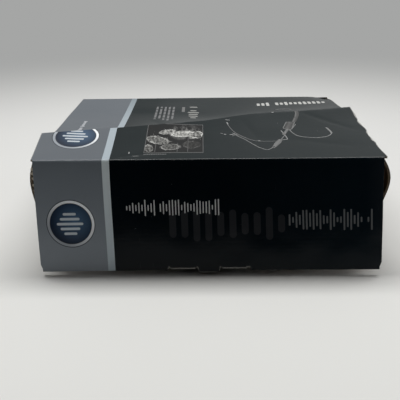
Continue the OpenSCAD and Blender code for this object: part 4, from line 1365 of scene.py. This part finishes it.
def windscreen():
    """An egg of foam with a blind hole for the capsule."""
    mouth, bore = 12.8, 2.86
    profile = [(mouth, 0.01), (mouth, 1.5), (mouth, bore)]
    profile += [(mouth - k * 0.8, bore) for k in range(1, 16)] + [(0.25, 3.2)]
    for turn in range(-60, 91, 5):
        angle = radians(turn)
        profile.append((9.5 + 9.5 * sin(angle), max(0.01, 6.2 * cos(angle))))
    origin = neck_point(NECK_ANGLE) + NECK_AHEAD * NECK_TIP + NECK_AHEAD * 1.2
    return lathe("windscreen_foam_ball", origin, NECK_AHEAD, profile, "windscreen_foam",
                 sides=56, roughness=0.16, frequency=2.6)


def band_sleeve():
    """Neckband sleeve with seven raised grips."""
    profile = [(0.0, 1.06), (0.02, 1.9), (0.25, 2.35), (0.7, 2.58)]
    for t in stations(1.5, 38.4, 0.22):
        profile.append((t, 2.56 + 0.27 * max(ring(t, 13.0 + k * 2.2, 0.55) for k in range(7))))
    profile += [(39.3, 2.58), (39.75, 2.35), (39.98, 1.9), (40.0, 1.06)]
    return lathe("band_sleeve_soft", (-20, 80, 18), (1, 0, 0), profile, "soft_rubber",
                 sides=36, roughness=0.03, frequency=1.5)


def connector_boot():
    """Tapering cable boot with four rounded rings."""
    profile = [(0.0, 1.25), (0.02, 4.1), (0.3, 4.33), (4.6, 4.33), (4.9, 4.1), (5.1, 3.6)]
    for t in stations(5.4, 15.0, 0.2):
        base = 3.6 - 1.7 * (t - 4.9) / 10.4
        rise = max(ring(t, 6.8 + k * 2.2, 0.62) * (3.48 - k * 0.4 - base) for k in range(4))
        profile.append((t, base + max(0.0, rise)))
    profile += [(15.2, 1.85), (15.3, 1.6), (15.3, 1.1)]
    return lathe("connector_boot_soft", (-9, -45.5, 17.2), (0, 1, 0), profile, "soft_rubber",
                 sides=36, roughness=0.02, frequency=2.0)


attach(windscreen(), "windscreen_foam", "windscreen", body="foam_cap")
attach(band_sleeve(), "soft_rubber", "band_sleeve", body="carton")
attach(connector_boot(), "soft_rubber", "connector_boot", body="carton")

# the coil spring under the connector's lock button
turns = [radians(k * 11.25) for k in range(97)]
spring = tube("button_spring_coil",
              [(-9 + 1.1 * cos(angle), -49.4 + 1.1 * sin(angle), 16.15 + 3.75 * k / 96)
               for k, angle in enumerate(turns)], 0.15, "steel_wire", 8)
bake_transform(spring)
attach(spring, "steel_wire", "button_spring")


def gooseneck():
    """A closely wound sleeve; every third ring is a groove."""
    pitch, tail = 0.25, 11.3
    path = [Vector((NECK_X, NECK_Y + tail - k * pitch, NECK_Z))
            for k in range(int((tail + NECK_RUN) / pitch) + 1)]
    bends = int(NECK_RADIUS * NECK_ANGLE / pitch)
    path += [neck_point(NECK_ANGLE * k / bends) for k in range(1, bends + 1)]
    path += [neck_point(NECK_ANGLE) + NECK_AHEAD * pitch * k
             for k in range(1, int(NECK_TIP / pitch) + 1)]
    radii = [1.17 if i % 3 else 1.02 for i in range(len(path))]
    return tube("gooseneck_wound", path, radii, "boom_black", 14)


goose = gooseneck()
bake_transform(goose)
attach(goose, "boom_black", "gooseneck_rear", "gooseneck_front")


def ear_tubing(side, x):
    """Soft tubing over an ear hook: up, over and down to a rounded end."""
    radius, top = 21, 44
    path = [Vector((x, HOOK_Y, 36.0 + k)) for k in range(8)]
    for turn in range(0, 181, 4):
        angle = radians(turn)
        path.append(Vector((x, HOOK_Y + radius - radius * cos(angle), top + radius * sin(angle))))
    path += [Vector((x, HOOK_Y + 2 * radius, top - k)) for k in range(1, 16)]
    radii = [1.82 + 0.05 * noise.noise(point * 0.4) for point in path]
    radii[:2] = 1.6, 1.86
    for drop, end_radius in ((0.7, 1.66), (1.2, 1.32), (1.55, 0.85), (1.75, 0.3)):
        path.append(Vector((x, HOOK_Y + 2 * radius, top - 15 - drop)))
        radii.append(end_radius)
    node = "ear_tubing_" + side
    attach(tube(node + "_soft", path, radii, "soft_rubber", 18), "soft_rubber", node,
           body="hook_" + side)


ear_tubing("left", -75.0)
ear_tubing("right", 75.0)

# ---------------------------------------------------------------- CAD pieces that stay
# node, material, width of the rounded edges
FINISHES = (
    ("tray_floor", "kraft_floor", 0), ("tray_back_wall", "kraft_panels", 0),
    ("tray_front_wall", "kraft_panels", 0), ("band_wire_left", "steel_wire", 0),
    ("band_wire_right", "steel_wire", 0), ("sleeve_collars", "moulded_black", 0.3),
    ("temple_block_left", "moulded_black", 0.45), ("temple_block_right", "moulded_black", 0.45),
    ("ear_hinge_pin_left", "steel_wire", 0.15), ("ear_hinge_pin_right", "steel_wire", 0.15),
    ("ear_hook_left", "steel_wire", 0), ("ear_hook_right", "steel_wire", 0),
    ("boom_pivot_pin", "steel_wire", 0.2), ("boom_knuckle", "moulded_black", 0.3),
    ("clamp_screw", "steel_wire", 0.06), ("boom_tube", "boom_black", 0.2),
    ("capsule_housing", "boom_black", 0.12), ("capsule_element", "capsule_brass", 0.15),
    ("capsule_grille", "grille_steel", 0), ("cable_keepers", "moulded_black", 0.25),
    ("connector_shell", "nickel_shell", 0.22), ("connector_insert", "moulded_black", 0.15),
    ("connector_contacts", "capsule_brass", 0), ("connector_button", "nickel_shell", 0.25),
    ("clip_base", "moulded_black", 0.25), ("clip_jaw", "moulded_black", 0.2),
    ("clip_pin", "steel_wire", 0.1), ("clip_spring", "steel_wire", 0))
for name, material, edge in FINISHES:
    node = frame["nodes"][name]
    is_tray = name.startswith("tray")
    node.data.materials.clear()
    node.data.materials.append(MATERIALS[material])
    weld = node.modifiers.new("weld", "WELD")
    weld.merge_threshold = 0.000002
    if edge:
        bevel = node.modifiers.new("edges", "BEVEL")
        bevel.width = edge * MM
        bevel.segments = 2
        bevel.limit_method = "ANGLE"
        bevel.angle_limit = radians(42)
    elif not is_tray and not node.hide_render:
        node.data.shade_smooth()


# ---------------------------------------------------------------- floor
def floor_material():
    """Pale floor that runs into an even, darker background far from the object. Other rays see
    that background and the floor in front as black: painted shade.
    """
    mat = Material("pale_floor")
    color = mat.mix(mat.noise(mat.position(), scale=6.0), (0.735, 0.735, 0.715),
                    (0.755, 0.755, 0.738))
    x, y, _ = mat.split(mat.position())
    rays = mat.node("LightPath").outputs
    camera_ray, glossy_ray = (Value(mat, rays[key]) for key in ("Is Camera Ray", "Is Glossy Ray"))
    radius = (x * x + y * y).sqrt()
    # the floor darkens towards the back: painted shade
    back = ((y + 0.22) / 0.46).clamp()
    color = mat.mix(back * back * (3.0 - 2.0 * back), color, (0.655, 0.655, 0.645))
    far = ((radius - 0.30) / 0.80).clamp()
    fade = far * far * (3.0 - 2.0 * far)
    # indirect rays see the floor far in front as black, and reflections see it black from nearer
    # in: painted shade in front of the object
    fade = fade.max((1.0 - camera_ray) * (y < -0.80)).max(glossy_ray * (y < -0.36))
    glow = mat.output(0, "Emission", {0: (BACKGROUND, BACKGROUND * 1.012, BACKGROUND * 1.0),
                                      1: camera_ray})
    mixed = mat.output(0, "MixShader", {0: fade, 1: mat.bsdf.outputs[0], 2: glow})
    mat.put(mat.surface, mixed)
    return mat.finish(color=color, rough=0.8, spec=0.15)


floor_mesh = bpy.data.meshes.new("floor")
floor_mesh.from_pydata([(-30, -30, 0), (30, -30, 0), (30, 30, 0), (-30, 30, 0)], [],
                       [(0, 1, 2, 3)])
floor_mesh.materials.append(floor_material())
floor = add_object("floor", floor_mesh)
floor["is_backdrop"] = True
floor.location.z = -0.0002


# ---------------------------------------------------------------- lights and world, in metres
def area_light(name, location, target, size, power, color):
    light = bpy.data.lights.new(name, "AREA")
    light.shape = "RECTANGLE"
    light.size, light.size_y = size
    light.energy = power
    light.color = color
    lamp = add_object(name, light)
    lamp.location = location
    aim = Vector(target) - Vector(location)
    lamp.rotation_euler = aim.to_track_quat("-Z", "Y").to_euler()
    lamp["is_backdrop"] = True
    lamp.visible_camera = False


area_light("soft_top", (0.0, 0.318, 1.22), target=(0, -0.05, 0.0), size=(1.5, 0.37), power=17.8,
           color=(1.0, 0.997, 0.985))
for name, x in (("soft_left", -1.3), ("soft_right", 1.3)):
    area_light(name, (x, 0.05, 0.75), target=(0, -0.10, 0.0), size=(0.6, 0.6), power=1.8,
               color=(1.0, 0.998, 0.99))
area_light("soft_front", (0.0, -0.85, 1.30), target=(0, 0.0, 0.02), size=(1.4, 0.5), power=0.35,
           color=(1.0, 0.997, 0.99))


def soft_world():
    """A sky that brightens to the back and sides; the camera sees an even background."""
    world = bpy.data.worlds.new("soft_world")
    bpy.context.scene.world = world
    sky = Shader(world)
    x, y, z = sky.split(sky.output("Generated", "TexCoord"))
    backness = sky.math("MULTIPLY_ADD", x.abs(), 0.17, y)
    bright = sky.output("Result", "MapRange", {
        "Value": backness, "From Min": -0.05, "From Max": 0.55, "To Min": 0.02,
        "To Max": BACKGROUND}, interpolation_type="SMOOTHSTEP")
    # the low sky to the left is dimmer
    left = sky.math("DIVIDE", x * -1.0 + -0.02, 0.16, clamp=True)
    low = sky.math("DIVIDE", 0.40 - z, 0.20, clamp=True)
    dimming = 1.0 - left * low * 0.45
    strength = sky.output(0, "Mix", {
        0: sky.output("Is Camera Ray", "LightPath"), 2: bright * dimming, 3: BACKGROUND},
        data_type="FLOAT")
    glow = sky.output(0, "Background", {0: (1.0, 1.008, 1.0), 1: strength})
    sky.node("OutputWorld", {0: glow})


soft_world()


# ---------------------------------------------------------------- camera
def place_camera(yaw, pitch, roll):
    """Looks from EYE towards +y, turned by the three angles in radians."""
    data = bpy.data.cameras.new("camera")
    camera = add_object("camera", data)
    data.lens = 49.5
    data.sensor_width = 36.0
    data.clip_start = 0.01
    data.clip_end = 100
    ahead = Vector((-sin(yaw) * cos(pitch), cos(yaw) * cos(pitch), -sin(pitch)))
    level = Vector((cos(yaw), sin(yaw), 0))
    upright = level.cross(ahead)
    right = level * cos(roll) + upright * sin(roll)
    up = -level * sin(roll) + upright * cos(roll)
    rows = zip(right, up, -ahead, metres(*EYE))
    camera.matrix_world = Matrix((*rows, (0, 0, 0, 1)))
    bpy.context.scene.camera = camera


place_camera(yaw=radians(0.29), pitch=radians(23.24), roll=radians(-0.72))
bpy.context.scene.view_settings.view_transform = "Standard"


# ---------------------------------------------------------------- sizes
def corners(box):
    low, high = (box["min"], box["max"]) if isinstance(box, dict) else box
    return json.dumps([[round(float(part), 6) for part in corner] for corner in (low, high)])


VISUAL_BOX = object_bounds()
('{"cad_box_m": %s,\n "visual_box_m": %s}\n'
           % (corners(CAD_BOX), corners(VISUAL_BOX)))
